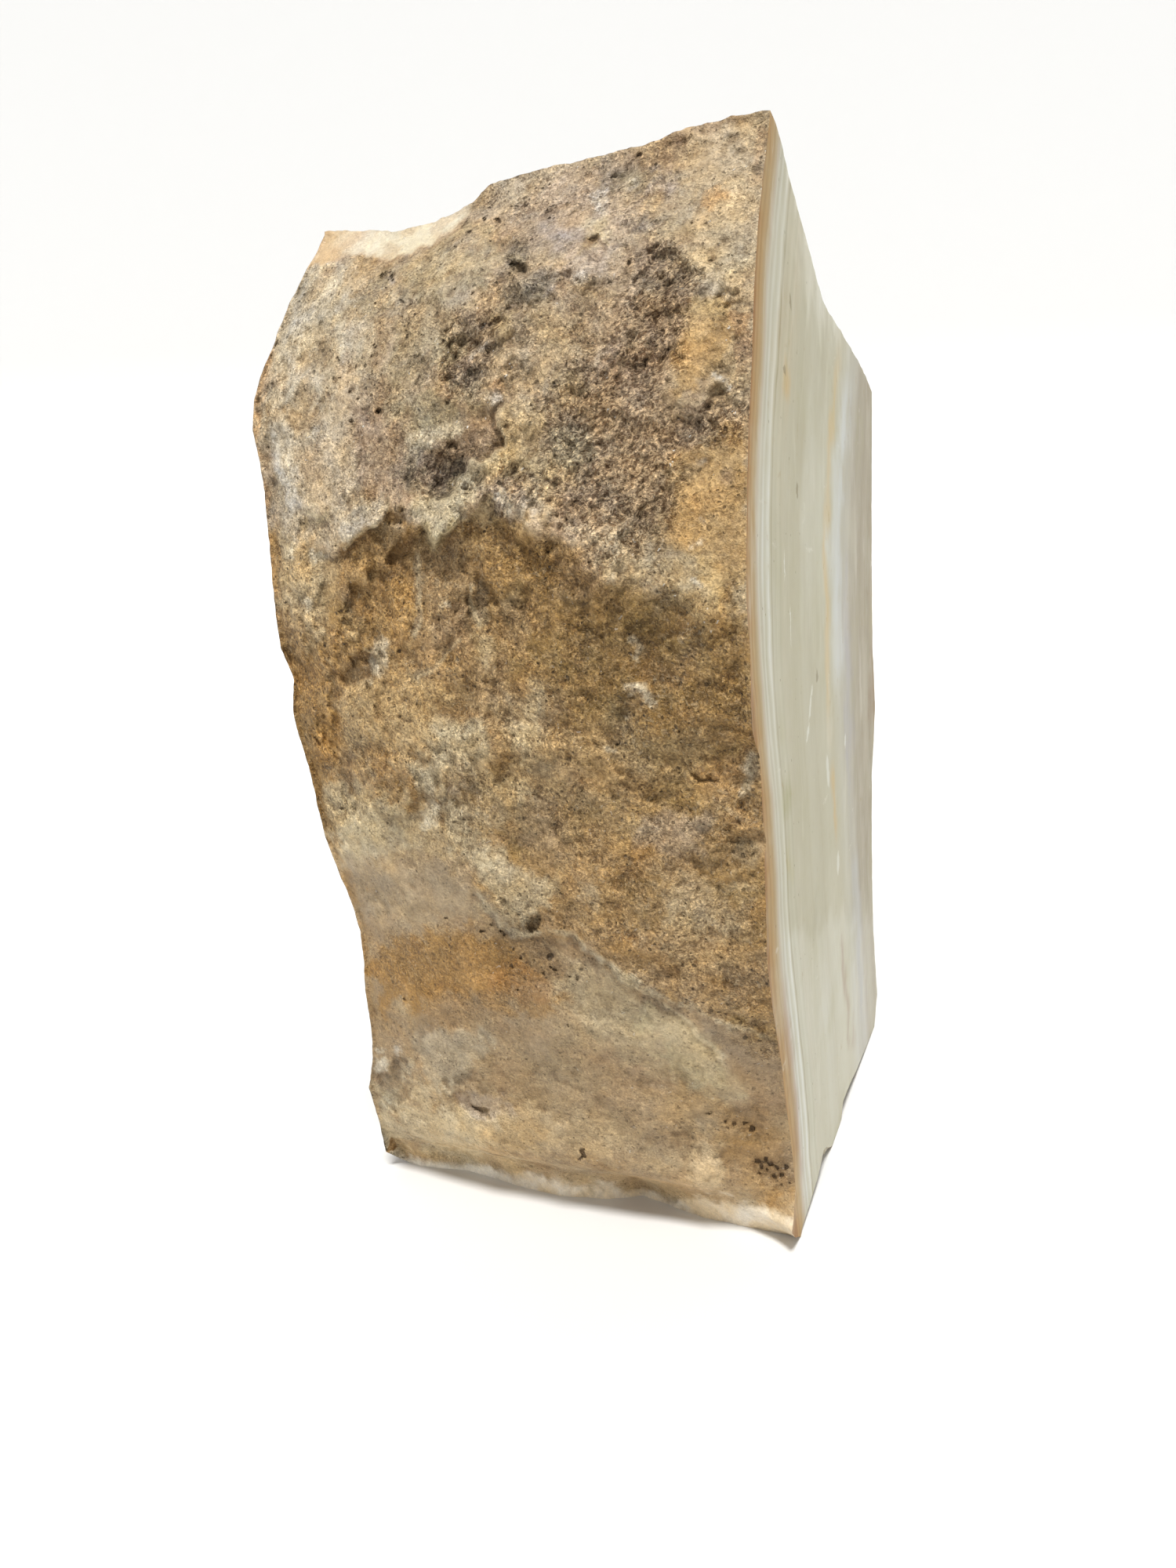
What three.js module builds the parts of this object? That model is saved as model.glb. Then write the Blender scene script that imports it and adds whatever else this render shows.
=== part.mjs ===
// Onyx block: a rough lump of banded calcite (onyx marble), sawn flat on one side and on its base.
// Millimetres, +Z up. The origin is under the middle of the block's box, on the base plane.
//   +X  outward normal of the sawn, polished side
//   -Y  the weathered rind, a rough natural skin
//   -X, +Y and the top are broken faces
// The block is one stone, so it is one closed solid. Its skin is six patches that share their
// border vertices: rind, left break, back break, broken top, sawn side and sawn base.

import * as THREE from 'three';

// ---------------------------------------------------------------- driving dimensions
// Shape tables use a work frame whose origin is the low front corner of the sawn side:
// x = 0 is the sawn plane, z = BASE_Z is the base plane.
const BASE_Z = -5.3;             // base plane
const RIM_Y = -6;                // depth of the front rim of the top
const ACROSS = 24;               // grid steps across the rind and the back
const UP = 48;                   // grid steps up the walls
const DEEP = 28;                 // grid steps along the left side and the top
const RIND_BULGE = 5.5;          // how far the middle of the rind stands proud of its two edges
const LEDGE_STEP = 5.0;          // step under the ledge that crosses the rind
const RIDGE_STEP = 4.0;          // step under the slanting ridge low on the rind
const BREAK_ROUGH = 3.2;         // coarse relief of the broken faces
const SHIFT = [49.2, -50.52, 5.3];  // work frame to part frame, found from the finished box

// [z, y] of the edge between the rind and the sawn side
const SAW_EDGE = [[-5.3, 7.5], [-2.5, 2.2], [0.5, -1.5], [2.2, 0.2], [7, 2.9], [14.1, 1.0], [22, -2.4],
  [29.3, -5.6], [36.1, -8.0], [43.3, -11.7], [50.2, -15.2], [56.6, -17.9], [62.3, -19.4], [70.1, -19.4],
  [77.1, -20.0], [81.3, -19.1], [85.7, -20.6], [92, -21.4], [95.9, -22.1], [100.3, -26.9], [104.9, -27.6],
  [113.2, -27.4], [120.7, -29.4], [128.7, -28.7], [137.2, -27.5], [147.4, -25.6], [157.3, -22.6],
  [168.8, -20.1], [178.8, -16.5], [187.5, -11.9], [197.7, -6.4]];
// [z, x, y] of the edge between the rind and the left break
const LEFT_EDGE = [[-5.3, -92, 12], [-1, -95.5, 7.7], [1.3, -95.1, 6.7], [8.6, -94.5, 4.3], [16.7, -95.3, 2.7],
  [25, -92.6, 1], [33, -91.5, -0.6], [40.6, -91.1, -2.1], [48.1, -90.4, -3.2], [55.3, -89.9, -4.3],
  [62.3, -90.9, -5.4], [69.2, -92.9, -6.4], [76, -94.6, -7.4], [82.8, -95.1, -8.6], [89.6, -95.1, -9.9],
  [96.2, -96, -11.2], [102.6, -96.6, -12.4], [108.9, -94.8, -13.3], [115.2, -96.8, -14.3], [121.3, -96.5, -15.1],
  [127.3, -96.6, -15.4], [133.3, -96.3, -15.7], [139.2, -96.2, -16], [145.1, -96.5, -15.7], [151, -97.2, -15.5],
  [156.9, -98.4, -15.2], [162.7, -97.8, -14.5], [168.4, -95.9, -13.3], [174, -93.3, -12.2], [179.7, -91.3, -10.4],
  [185.4, -88.4, -8.5], [192.1, -84.6, -6.6]];
// [z, y] of the edge between the sawn side and the back break
const FAR_EDGE = [[-5.3, 124.4], [-1, 128.5], [2.3, 132.1], [9, 129], [24.4, 123.1], [38, 120.8], [52.9, 120], [70.8, 120.3],
  [80, 124.6], [89.6, 127.6], [98, 125.6], [105.8, 122.6], [131.5, 121.3], [156.5, 121.7], [174.5, 122]];
// [z, x, y] of the hidden edge between the left and back breaks
const BACK_EDGE = [[-5.3, -86, 112], [12, -91, 118], [40, -94, 121], [70, -90, 117], [96, -93, 119], [120, -96, 121],
  [150, -92, 117], [176, -86, 110]];
// [x, z] of the front rim of the top
const FRONT_RIM = [[-84.6, 192.6], [-79.5, 191.9], [-69.5, 190.4], [-65.8, 189.6], [-57.3, 190.6], [-54.9, 191.4],
  [-52.5, 192.8], [-50, 194.7], [-47.7, 195.3], [-38.6, 196], [-29.9, 196], [-21.4, 196.6], [-17.2, 197.4],
  [-13.2, 198], [-5.2, 198.5], [0, 198.7]];
// [y, z] of the top edge of the sawn side
const SAW_TOP = [[-6, 198.7], [-3.2, 198.5], [3.6, 196.3], [9.6, 193.2], [17.4, 190.3], [25.9, 187.2], [35.1, 183.8],
  [45.1, 180.1], [70.6, 179.0], [101.9, 177.5], [122, 174.5]];
// [x, y] of the front edge of the base
const BASE_FRONT = [[-96, 13], [-88.6, 11.4], [-77, 12.5], [-64, 9.8], [-52, 8.1], [-41.8, 10.1], [-35, 13.5],
  [-32, 12.4], [-20.5, 8.7], [-10, 7.7], [0, 7.5]];
// [x, z] of the ledge across the rind, and of the slanting ridge below it
const LEDGE = [[-98, 133], [-91.6, 134], [-82, 134.9], [-68.5, 137], [-62.4, 133.8], [-59.3, 136], [-57.3, 139.9],
  [-53.3, 140.9], [-49.7, 143.7], [-46, 145.7], [-42.7, 146.5], [-40, 142.5], [-35.2, 138.4], [-30.2, 133], [-26, 130.8],
  [-19.3, 128.9], [-15.9, 127.2], [-7.8, 125.5], [0, 120.7]];
const RIDGE = [[-98, 76], [-72, 74], [-55.3, 70.2], [-50.2, 64.1], [-46.1, 60.4], [-41.4, 61.6], [-36.3, 62.7], [-32.6, 59.3],
  [-26.9, 54.8], [-20.2, 52], [-15.6, 49.6], [-11.4, 48.6], [0, 44.5]];
// soft hollows [x, z, radius x, radius z, depth] in the rind
const HOLLOWS = [[-58, 146, 9.5, 6.5, 3.6], [-51, 119, 5, 5, 2.6], [-84, 112, 7, 6, 1.6], [-66, 96, 8, 7, 1.6],
  [-45, 178, 8, 6, 1.6], [-72, 163, 12, 7, 1.2], [-24, 104, 9, 7, 1.4], [-75, 62, 14, 9, 1.2], [-62, 30, 12, 8, 1.2],
  [-28, 36, 9, 8, 1.6], [-9, 28, 6, 7, 1.2], [-18, 166, 8, 9, 1.2], [-36, 88, 9, 8, 1.4], [-83, 46, 6, 9, 1.0]];

// ---------------------------------------------------------------- helpers
const clamp = (v, a, b) => Math.min(b, Math.max(a, v));
const mix = (a, b, t) => a + (b - a) * t;
const ease = (t) => { const c = clamp(t, 0, 1); return c * c * (3 - 2 * c); };

// piecewise linear table: column k of the rows, looked up by column 0
function look(table, v, k = 1) {
  if (v <= table[0][0]) return table[0][k];
  for (let i = 1; i < table.length; i++) {
    if (v <= table[i][0]) {
      const a = table[i - 1], b = table[i];
      return mix(a[k], b[k], (v - a[0]) / (b[0] - a[0]));
    }
  }
  return table[table.length - 1][k];
}

// the same table averaged over a window, for the slow trend under the small steps
function trend(table, v, k, half) {
  let sum = 0;
  for (let i = -4; i <= 4; i++) sum += look(table, v + half * i / 4, k);
  return sum / 9;
}

// smooth lattice noise in -1..1
function lattice(ix, iy, iz, seed) {
  let h = (Math.imul(ix, 374761393) + Math.imul(iy, 668265263) + Math.imul(iz, 1103515245) + Math.imul(seed, 974711)) | 0;
  h = Math.imul(h ^ (h >>> 13), 1274126177);
  h ^= h >>> 16;
  return (h >>> 0) / 2147483647.5 - 1;
}
function noise(x, y, z, size, seed) {
  const px = x / size, py = y / size, pz = z / size;
  const ix = Math.floor(px), iy = Math.floor(py), iz = Math.floor(pz);
  const fx = ease(px - ix), fy = ease(py - iy), fz = ease(pz - iz);
  let v = 0;
  for (let a = 0; a < 2; a++) for (let b = 0; b < 2; b++) for (let c = 0; c < 2; c++) {
    v += lattice(ix + a, iy + b, iz + c, seed) * (a ? fx : 1 - fx) * (b ? fy : 1 - fy) * (c ? fz : 1 - fz);
  }
  return v;
}

// ---------------------------------------------------------------- the rind
// depth change of the rind at (x, z): ledge, ridge and hollows, fading out at its borders
function rindRelief(x, z, fade) {
  const step = (d, under, over) => mix(0.55 * Math.exp(Math.min(d, 0) / under),
    -0.45 * Math.exp(-Math.max(d, 0) / over), ease((d + 2.5) / 5));
  const reach = ease((x + 62) / 10);
  let v = LEDGE_STEP * step(z - trend(LEDGE, x, 1, 3), 17, 13)
    + RIDGE_STEP * step(z - trend(RIDGE, x, 1, 3), 12, 14) * reach;
  for (const [hx, hz, rx, rz, depth] of HOLLOWS) {
    const q = ((x - hx) / rx) ** 2 + ((z - hz) / rz) ** 2;
    if (q < 1) v += depth * (1 - q) * (1 - q);
  }
  v += 0.9 * noise(x, 0, z, 11, 3) + 0.5 * noise(x, 0, z, 5.5, 4);
  return v * fade;
}

function rindPoint(u, z) {
  const leftX = look(LEFT_EDGE, z, 1), leftY = look(LEFT_EDGE, z, 2);
  const x = leftX * u;
  const slow = trend(SAW_EDGE, z, 1, 9);
  const edge = look(SAW_EDGE, z, 1);
  let y = mix(slow, leftY, u) + (edge - slow) * Math.exp(x / 9) * (1 - u);
  const high = ease((196 - z) / 22), low = ease((z + 1) / 14);
  y -= RIND_BULGE * 4 * u * (1 - u) * high * low;
  y += rindRelief(x, z, ease(u / 0.05) * ease((1 - u) / 0.05) * high * low);
  const foot = ease((8 - z) / 13);                     // the chipped foot leans in to the base's front edge
  y = mix(y, look(BASE_FRONT, x), foot * (u > 0 ? 1 : 0));
  if (u === 0) y = edge;
  if (u === 1) y = leftY;
  return [x, y];
}

// ---------------------------------------------------------------- plan of the walls at height z
// the wall's point at side s ('rind', 'left', 'back') and share f along it
function wallPoint(side, f, z) {
  if (side === 'rind') return rindPoint(f, z);
  const lx = look(LEFT_EDGE, z, 1), ly = look(LEFT_EDGE, z, 2);
  const bx = look(BACK_EDGE, z, 1), by = look(BACK_EDGE, z, 2);
  const ends = ease(f / 0.12) * ease((1 - f) / 0.12) * ease((z - BASE_Z) / 7);
  if (side === 'left') {
    const x = mix(lx, bx, f), y = mix(ly, by, f);
    const bulge = 4.0 * Math.sin(Math.PI * f) * ease((z + 5) / 30);
    const rough = BREAK_ROUGH * noise(0, y, z, 27, 11) + 0.5 * BREAK_ROUGH * noise(0, y, z, 12, 12);
    return [Math.max(x - bulge * 0.6 + rough * ends * 0.8, -98.4), y + 0.6 * rough * ends];
  }
  const fy = look(FAR_EDGE, z);
  const x = mix(bx, 0, f), y = mix(by, fy, f);
  const rough = BREAK_ROUGH * noise(x, 0, z, 29, 21) + 0.5 * BREAK_ROUGH * noise(x, 0, z, 13, 22);
  return [x + 0.5 * rough * ends * (1 - f), Math.min(y + 2.5 * Math.sin(Math.PI * f) + rough * ends, 131.9)];
}

// height of the broken top over (x, y)
function topHeight(x, y) {
  const fall = Math.exp(-Math.max(0, y - RIM_Y) / 42);
  return look(SAW_TOP, y) + (look(FRONT_RIM, x) - 198.7) * fall - 5 * ease(-x / 95) * (1 - fall);
}

// ---------------------------------------------------------------- skin
const verts = [], tris = [];
const key = new Map();
function vertex(p) {
  const k = p.map((c) => c.toFixed(4)).join();
  if (!key.has(k)) { key.set(k, verts.length); verts.push(p); }
  return key.get(k);
}
const corner = (a, b, c) => { if (a !== b && b !== c && c !== a) tris.push(a, b, c); };
function sheet(rows) {                                // rows[j][i] are vertex numbers, outward when i then j turns left
  for (let j = 0; j + 1 < rows.length; j++) for (let i = 0; i + 1 < rows[j].length; i++) {
    const a = rows[j][i], b = rows[j][i + 1], c = rows[j + 1][i + 1], d = rows[j + 1][i];
    if ((i + j) % 2) { corner(a, b, c); corner(a, c, d); } else { corner(a, b, d); corner(b, c, d); }
  }
}

// a wall as rows of points from the base up; the top of each column sits on the broken top
function wall(side, steps) {
  const rows = [];
  for (let j = 0; j <= UP; j++) rows.push([]);
  for (let i = 0; i <= steps; i++) {
    const f = i / steps;
    const plan = wallPoint(side, f, 186);
    const rim = side === 'rind' ? look(FRONT_RIM, wallPoint(side, f, 194)[0]) : topHeight(plan[0], plan[1]);
    for (let j = 0; j <= UP; j++) {
      const t = j / UP, z = mix(BASE_Z, rim, t);
      const [x, y] = wallPoint(side, f, z);
      rows[j].push([x, y, j === 0 ? BASE_Z : z]);
    }
  }
  return rows;
}
const rind = wall('rind', ACROSS);                    // saw edge to left edge
const left = wall('left', DEEP);                      // left edge to back edge
const back = wall('back', ACROSS);                    // back edge to far edge
for (let j = 0; j <= UP; j++) {                       // shared columns
  left[j][0] = rind[j][ACROSS];
  back[j][0] = left[j][DEEP];
  rind[j][0][0] = 0;
  back[j][ACROSS][0] = 0;
}

// the sawn side's top edge
const sawTop = [];
for (let i = 0; i <= DEEP; i++) {
  const a = rind[UP][0], b = back[UP][ACROSS];
  const y = mix(a[1], b[1], i / DEEP);
  sawTop.push(i === 0 ? a : i === DEEP ? b : [0, y, look(SAW_TOP, y)]);
}

// the broken top: a patch between its four rims with its own relief
const topRows = [];
for (let j = 0; j <= DEEP; j++) {
  const row = [], v = j / DEEP;
  for (let i = 0; i <= ACROSS; i++) {
    const u = i / ACROSS;
    const f = rind[UP][i], b = back[UP][ACROSS - i], r = sawTop[j], l = left[UP][j];
    const c00 = rind[UP][0], c10 = rind[UP][ACROSS], c01 = back[UP][ACROSS], c11 = back[UP][0];
    if (j === 0) { row.push(f); continue; }
    if (j === DEEP) { row.push(b); continue; }
    if (i === 0) { row.push(r); continue; }
    if (i === ACROSS) { row.push(l); continue; }
    const p = [0, 1, 2].map((k) => (1 - v) * f[k] + v * b[k] + (1 - u) * r[k] + u * l[k]
      - ((1 - u) * (1 - v) * c00[k] + u * (1 - v) * c10[k] + (1 - u) * v * c01[k] + u * v * c11[k]));
    const inner = ease(Math.min(u, 1 - u, v, 1 - v) / 0.12);
    p[2] += inner * (BREAK_ROUGH * noise(p[0], p[1], 0, 24, 31) + 0.5 * BREAK_ROUGH * noise(p[0], p[1], 0, 11, 32) - 1.0);
    row.push(p);
  }
  topRows.push(row);
}

const numbered = (rows) => rows.map((row) => row.map(vertex));
const R = numbered(rind), L = numbered(left), B = numbered(back), T = numbered(topRows);
sheet(R.map((row) => row.slice().reverse()));
sheet(L.map((row) => row.slice().reverse()));
sheet(B.map((row) => row.slice().reverse()));
sheet(T.map((row) => row.slice().reverse()));

// a flat sawn face from its border; plan gives a vertex's place as seen from outside
function flat(loop, plan) {
  const clean = loop.filter((v, i) => v !== loop[(i + 1) % loop.length]);
  const contour = clean.map((v) => new THREE.Vector2(...plan(verts[v])));
  if (THREE.ShapeUtils.isClockWise(contour)) { clean.reverse(); contour.reverse(); }
  for (const [a, b, c] of THREE.ShapeUtils.triangulateShape(contour, [])) corner(clean[a], clean[b], clean[c]);
}
const column = (rows, i) => rows.map((row) => row[i]);
// sawn side, seen from +X: y to the right, z up
flat([
  ...column(R, 0),                                     // up the saw edge
  ...sawTop.slice(1, -1).map(vertex),                  // along the top edge
  ...column(B, ACROSS).reverse(),                      // down the far edge
], (p) => [p[1], p[2]]);
// sawn base, seen from -Z: x to the left, y up
flat([...R[0], ...L[0].slice(1), ...B[0].slice(1)], (p) => [-p[0], p[1]]);

// ---------------------------------------------------------------- mesh
const position = new Float32Array(verts.length * 3);
verts.forEach((p, i) => { for (let k = 0; k < 3; k++) position[3 * i + k] = p[k] + SHIFT[k]; });
for (let i = 0; i < verts.length; i++) {
  if (Math.abs(verts[i][2] - BASE_Z) < 1e-6) position[3 * i + 2] = 0;
  if (Math.abs(verts[i][0]) < 1e-6) position[3 * i] = SHIFT[0];
}
const geometry = new THREE.BufferGeometry();
geometry.setAttribute('position', new THREE.BufferAttribute(position, 3));
geometry.setIndex(tris);
geometry.computeVertexNormals();

const stone = new THREE.MeshStandardMaterial({ color: 0xbca98a, roughness: 0.62, metalness: 0 });
const block = new THREE.Mesh(geometry, stone);
block.name = 'onyx_block';

const group = new THREE.Group();
group.add(block);
export default group;
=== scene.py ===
import math

import bpy
import numpy as np
from mathutils import Matrix, Vector
from mathutils.geometry import delaunay_2d_cdt


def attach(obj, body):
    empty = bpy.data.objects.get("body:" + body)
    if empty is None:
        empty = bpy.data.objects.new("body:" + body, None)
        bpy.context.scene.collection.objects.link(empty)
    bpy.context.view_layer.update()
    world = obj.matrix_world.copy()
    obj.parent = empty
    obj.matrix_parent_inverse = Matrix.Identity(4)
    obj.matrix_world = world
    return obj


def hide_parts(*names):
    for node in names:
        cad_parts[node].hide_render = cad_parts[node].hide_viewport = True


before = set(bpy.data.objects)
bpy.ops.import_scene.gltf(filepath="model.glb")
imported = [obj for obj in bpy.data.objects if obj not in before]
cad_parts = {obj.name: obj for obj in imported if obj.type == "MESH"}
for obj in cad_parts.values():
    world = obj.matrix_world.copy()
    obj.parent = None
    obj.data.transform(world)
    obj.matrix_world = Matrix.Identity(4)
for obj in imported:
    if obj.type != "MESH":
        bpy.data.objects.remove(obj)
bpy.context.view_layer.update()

# ------------------------------------------------------------------ frame
# Shape tables are in a work frame, in mm: x = 0 is the sawn plane, z = BASE_Z the base.
SHIFT = np.array([49.2, -50.52, 5.3])
BASE_Z = -5.3
RIM_Y = -6.0


def to_part(p):
    return (np.asarray(p, float) + SHIFT) / 1000.0


# ------------------------------------------------------------------ camera
LENS, PITCH, ROLL, YAW = 26.0, 9.0, 2.4, 21.364
EYE = np.array([40.193, -201.758, 121.351])
FOCAL = LENS / 36.0 * 2000.0
MID = np.array([750.0, 1000.0])


def camera_axes():
    p, r, w = (math.radians(a) for a in (PITCH, ROLL, YAW))
    turn = np.array([[math.cos(w), -math.sin(w), 0], [math.sin(w), math.cos(w), 0], [0, 0, 1]])
    s, c, sr, cr = math.sin(p), math.cos(p), math.sin(r), math.cos(r)
    right = turn @ np.array([cr, -sr * s, -sr * c])
    up = turn @ np.array([sr, cr * s, cr * c])
    ahead = turn @ np.array([0, c, -s])
    return right, up, ahead


RIGHT, UP, AHEAD = camera_axes()


def project(p):
    """Work-frame points to the 1500 x 2000 picture frame: where a marking placed on the rind falls."""
    q = np.asarray(p, float) - EYE
    depth = q @ AHEAD
    return np.stack([MID[0] + FOCAL * (q @ RIGHT) / depth, MID[1] - FOCAL * (q @ UP) / depth], -1)


# ------------------------------------------------------------------ noise
def hash3(ix, iy, iz, seed):
    m = np.uint32
    h = (ix.astype(np.int64).astype(m) * m(374761393) + iy.astype(np.int64).astype(m) * m(668265263)
         + iz.astype(np.int64).astype(m) * m(1103515245) + m((seed * 974711) & 0xFFFFFFFF))
    h = (h ^ (h >> m(13))) * m(1274126177)
    return h ^ (h >> m(16))


def lattice_noise(x, y, z, size, seed):
    """Smooth value noise, the same as the CAD part's, so that both shapes share their coarse relief."""
    x, y, z = np.broadcast_arrays(np.asarray(x, float) / size, np.asarray(y, float) / size, np.asarray(z, float) / size)
    ix, iy, iz = np.floor(x), np.floor(y), np.floor(z)
    fx, fy, fz = (f * f * (3 - 2 * f) for f in (x - ix, y - iy, z - iz))
    v = 0.0
    for a in (0, 1):
        for b in (0, 1):
            for c in (0, 1):
                h = hash3(ix + a, iy + b, iz + c, seed) / 2147483647.5 - 1
                v = v + h * (fx if a else 1 - fx) * (fy if b else 1 - fy) * (fz if c else 1 - fz)
    return v


def gradient_noise(p, size, seed):
    """Gradient noise of points p (n, 3), about -1..1."""
    q = np.asarray(p, float) / size
    i = np.floor(q)
    f = q - i
    w = f * f * f * (f * (f * 6 - 15) + 10)
    total = np.zeros(len(q))
    for a in (0, 1):
        for b in (0, 1):
            for c in (0, 1):
                h = hash3(i[:, 0] + a, i[:, 1] + b, i[:, 2] + c, seed)
                gx = (h & np.uint32(1023)) / 511.5 - 1
                gy = ((h >> np.uint32(10)) & np.uint32(1023)) / 511.5 - 1
                gz = ((h >> np.uint32(20)) & np.uint32(1023)) / 511.5 - 1
                d = gx * (f[:, 0] - a) + gy * (f[:, 1] - b) + gz * (f[:, 2] - c)
                total += d * (w[:, 0] if a else 1 - w[:, 0]) * (w[:, 1] if b else 1 - w[:, 1]) * (w[:, 2] if c else 1 - w[:, 2])
    return total * 1.25


def fbm(p, size, octaves, seed, gain=0.5):
    v, amp, norm = 0.0, 1.0, 0.0
    for k in range(octaves):
        v = v + amp * gradient_noise(p, size / 2 ** k, seed + 17 * k)
        norm += amp
        amp *= gain
    return v / norm


def ridged(p, size, octaves, seed, gain=0.5):
    v, amp, norm = 0.0, 1.0, 0.0
    for k in range(octaves):
        v = v + amp * (1 - 2 * np.abs(gradient_noise(p, size / 2 ** k, seed + 17 * k)))
        norm += amp
        amp *= gain
    return v / norm


def cells(p, size, seed):
    """Nearest and second nearest feature distance (in cells) and a random number for the nearest cell."""
    q = np.asarray(p, float) / size
    i = np.floor(q)
    best = np.full(len(q), 9.0)
    second = np.full(len(q), 9.0)
    ident = np.zeros(len(q))
    for a in (-1, 0, 1):
        for b in (-1, 0, 1):
            for c in (-1, 0, 1):
                h = hash3(i[:, 0] + a, i[:, 1] + b, i[:, 2] + c, seed)
                d = np.sqrt((i[:, 0] + a + (h & np.uint32(1023)) / 1023.0 - q[:, 0]) ** 2
                            + (i[:, 1] + b + ((h >> np.uint32(10)) & np.uint32(1023)) / 1023.0 - q[:, 1]) ** 2
                            + (i[:, 2] + c + ((h >> np.uint32(20)) & np.uint32(1023)) / 1023.0 - q[:, 2]) ** 2)
                nearer = d < best
                second = np.where(nearer, best, np.minimum(second, d))
                ident = np.where(nearer, (hash3(i[:, 0] + a, i[:, 1] + b, i[:, 2] + c, seed + 5) & np.uint32(65535)) / 65535.0, ident)
                best = np.minimum(best, d)
    return best, second, ident


def ease(t):
    t = np.clip(t, 0, 1)
    return t * t * (3 - 2 * t)


def mix(a, b, t):
    return a + (b - a) * t


def unit(v):
    """The same field with mean 0 and spread 1."""
    return (v - v.mean()) / (v.std() + 1e-9)


def bent(p, size, amount, seed):
    """Points moved by a slow noise, so that what is made from them isn't straight or round."""
    return p + amount * np.stack([gradient_noise(p, size, seed + k) for k in range(3)], -1)


# ------------------------------------------------------------------ shape tables (work frame, mm), the same as the CAD part's
SAW_EDGE = np.array([[-5.3, 7.5], [-2.5, 2.2], [0.5, -1.5], [2.2, 0.2], [7, 2.9], [14.1, 1.0], [22, -2.4],
    [29.3, -5.6], [36.1, -8.0], [43.3, -11.7], [50.2, -15.2], [56.6, -17.9], [62.3, -19.4], [70.1, -19.4],
    [77.1, -20.0], [81.3, -19.1], [85.7, -20.6], [92, -21.4], [95.9, -22.1], [100.3, -26.9], [104.9, -27.6],
    [113.2, -27.4], [120.7, -29.4], [128.7, -28.7], [137.2, -27.5], [147.4, -25.6], [157.3, -22.6],
    [168.8, -20.1], [178.8, -16.5], [187.5, -11.9], [197.7, -6.4]])
LEFT_EDGE = np.array([[-5.3, -92, 12], [-1, -95.5, 7.7], [1.3, -95.1, 6.7], [8.6, -94.5, 4.3], [16.7, -95.3, 2.7],
    [25, -92.6, 1], [33, -91.5, -0.6], [40.6, -91.1, -2.1], [48.1, -90.4, -3.2], [55.3, -89.9, -4.3],
    [62.3, -90.9, -5.4], [69.2, -92.9, -6.4], [76, -94.6, -7.4], [82.8, -95.1, -8.6], [89.6, -95.1, -9.9],
    [96.2, -96, -11.2], [102.6, -96.6, -12.4], [108.9, -94.8, -13.3], [115.2, -96.8, -14.3], [121.3, -96.5, -15.1],
    [127.3, -96.6, -15.4], [133.3, -96.3, -15.7], [139.2, -96.2, -16], [145.1, -96.5, -15.7], [151, -97.2, -15.5],
    [156.9, -98.4, -15.2], [162.7, -97.8, -14.5], [168.4, -95.9, -13.3], [174, -93.3, -12.2], [179.7, -91.3, -10.4],
    [185.4, -88.4, -8.5], [192.1, -84.6, -6.6]])
FAR_EDGE = np.array([[-5.3, 124.4], [-1, 128.5], [2.3, 131.9], [9, 129], [24.4, 123.1], [38, 120.8], [52.9, 120],
    [70.8, 120.3], [80, 124.6], [89.6, 127.6], [98, 125.6], [105.8, 122.6], [131.5, 121.3], [156.5, 121.7], [174.5, 122]])
BACK_EDGE = np.array([[-5.3, -86, 112], [12, -91, 118], [40, -94, 121], [70, -90, 117], [96, -93, 119], [120, -96, 121],
    [150, -92, 117], [176, -86, 110]])
FRONT_RIM = np.array([[-84.6, 192.6], [-79.5, 191.9], [-69.5, 190.4], [-65.8, 189.6], [-57.3, 190.6], [-54.9, 191.4],
    [-52.5, 192.8], [-50, 194.7], [-47.7, 195.3], [-38.6, 196], [-29.9, 196], [-21.4, 196.6], [-17.2, 197.4],
    [-13.2, 198], [-5.2, 198.5], [0, 198.7]])
SAW_TOP = np.array([[-6, 198.7], [-3.2, 198.5], [3.6, 196.3], [9.6, 193.2], [17.4, 190.3], [25.9, 187.2], [35.1, 183.8],
    [45.1, 180.1], [70.6, 179.0], [101.9, 177.5], [122, 174.5]])
BASE_FRONT = np.array([[-96, 13], [-88.6, 11.4], [-77, 12.5], [-64, 9.8], [-52, 8.1], [-41.8, 10.1], [-35, 13.5],
    [-32, 12.4], [-20.5, 8.7], [-10, 7.7], [0, 7.5]])
BASE_CHIPS = np.array([[7.5, 0], [9.2, 0.8], [17.7, 1.2], [27, 2.0], [32.1, 3.2], [34.9, 4.6], [37.5, 4.2], [43, 1.6], [46, 0.2], [56.4, 0.0], [60, 0.3],
    [61.5, 1.0], [63.8, 3.4], [75, 3.0], [87.6, 1.8], [108.6, 0.6], [124.4, 0]])
RIND_BULGE = 5.5
BREAK_ROUGH = 3.2


def look(table, v, k=1):
    return np.interp(v, table[:, 0], table[:, k])


def trend(table, v, k, half):
    return sum(look(table, v + half * i / 4, k) for i in range(-4, 5)) / 9


def top_height(x, y):
    fall = np.exp(-np.maximum(0, y - RIM_Y) / 42)
    return look(SAW_TOP, y) + (look(FRONT_RIM, x) - 198.7) * fall - 5 * ease(-x / 95) * (1 - fall)


# ------------------------------------------------------------------ the rind's macro shape
NU, NV = 190, 375          # grid steps across and up the rind


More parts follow.
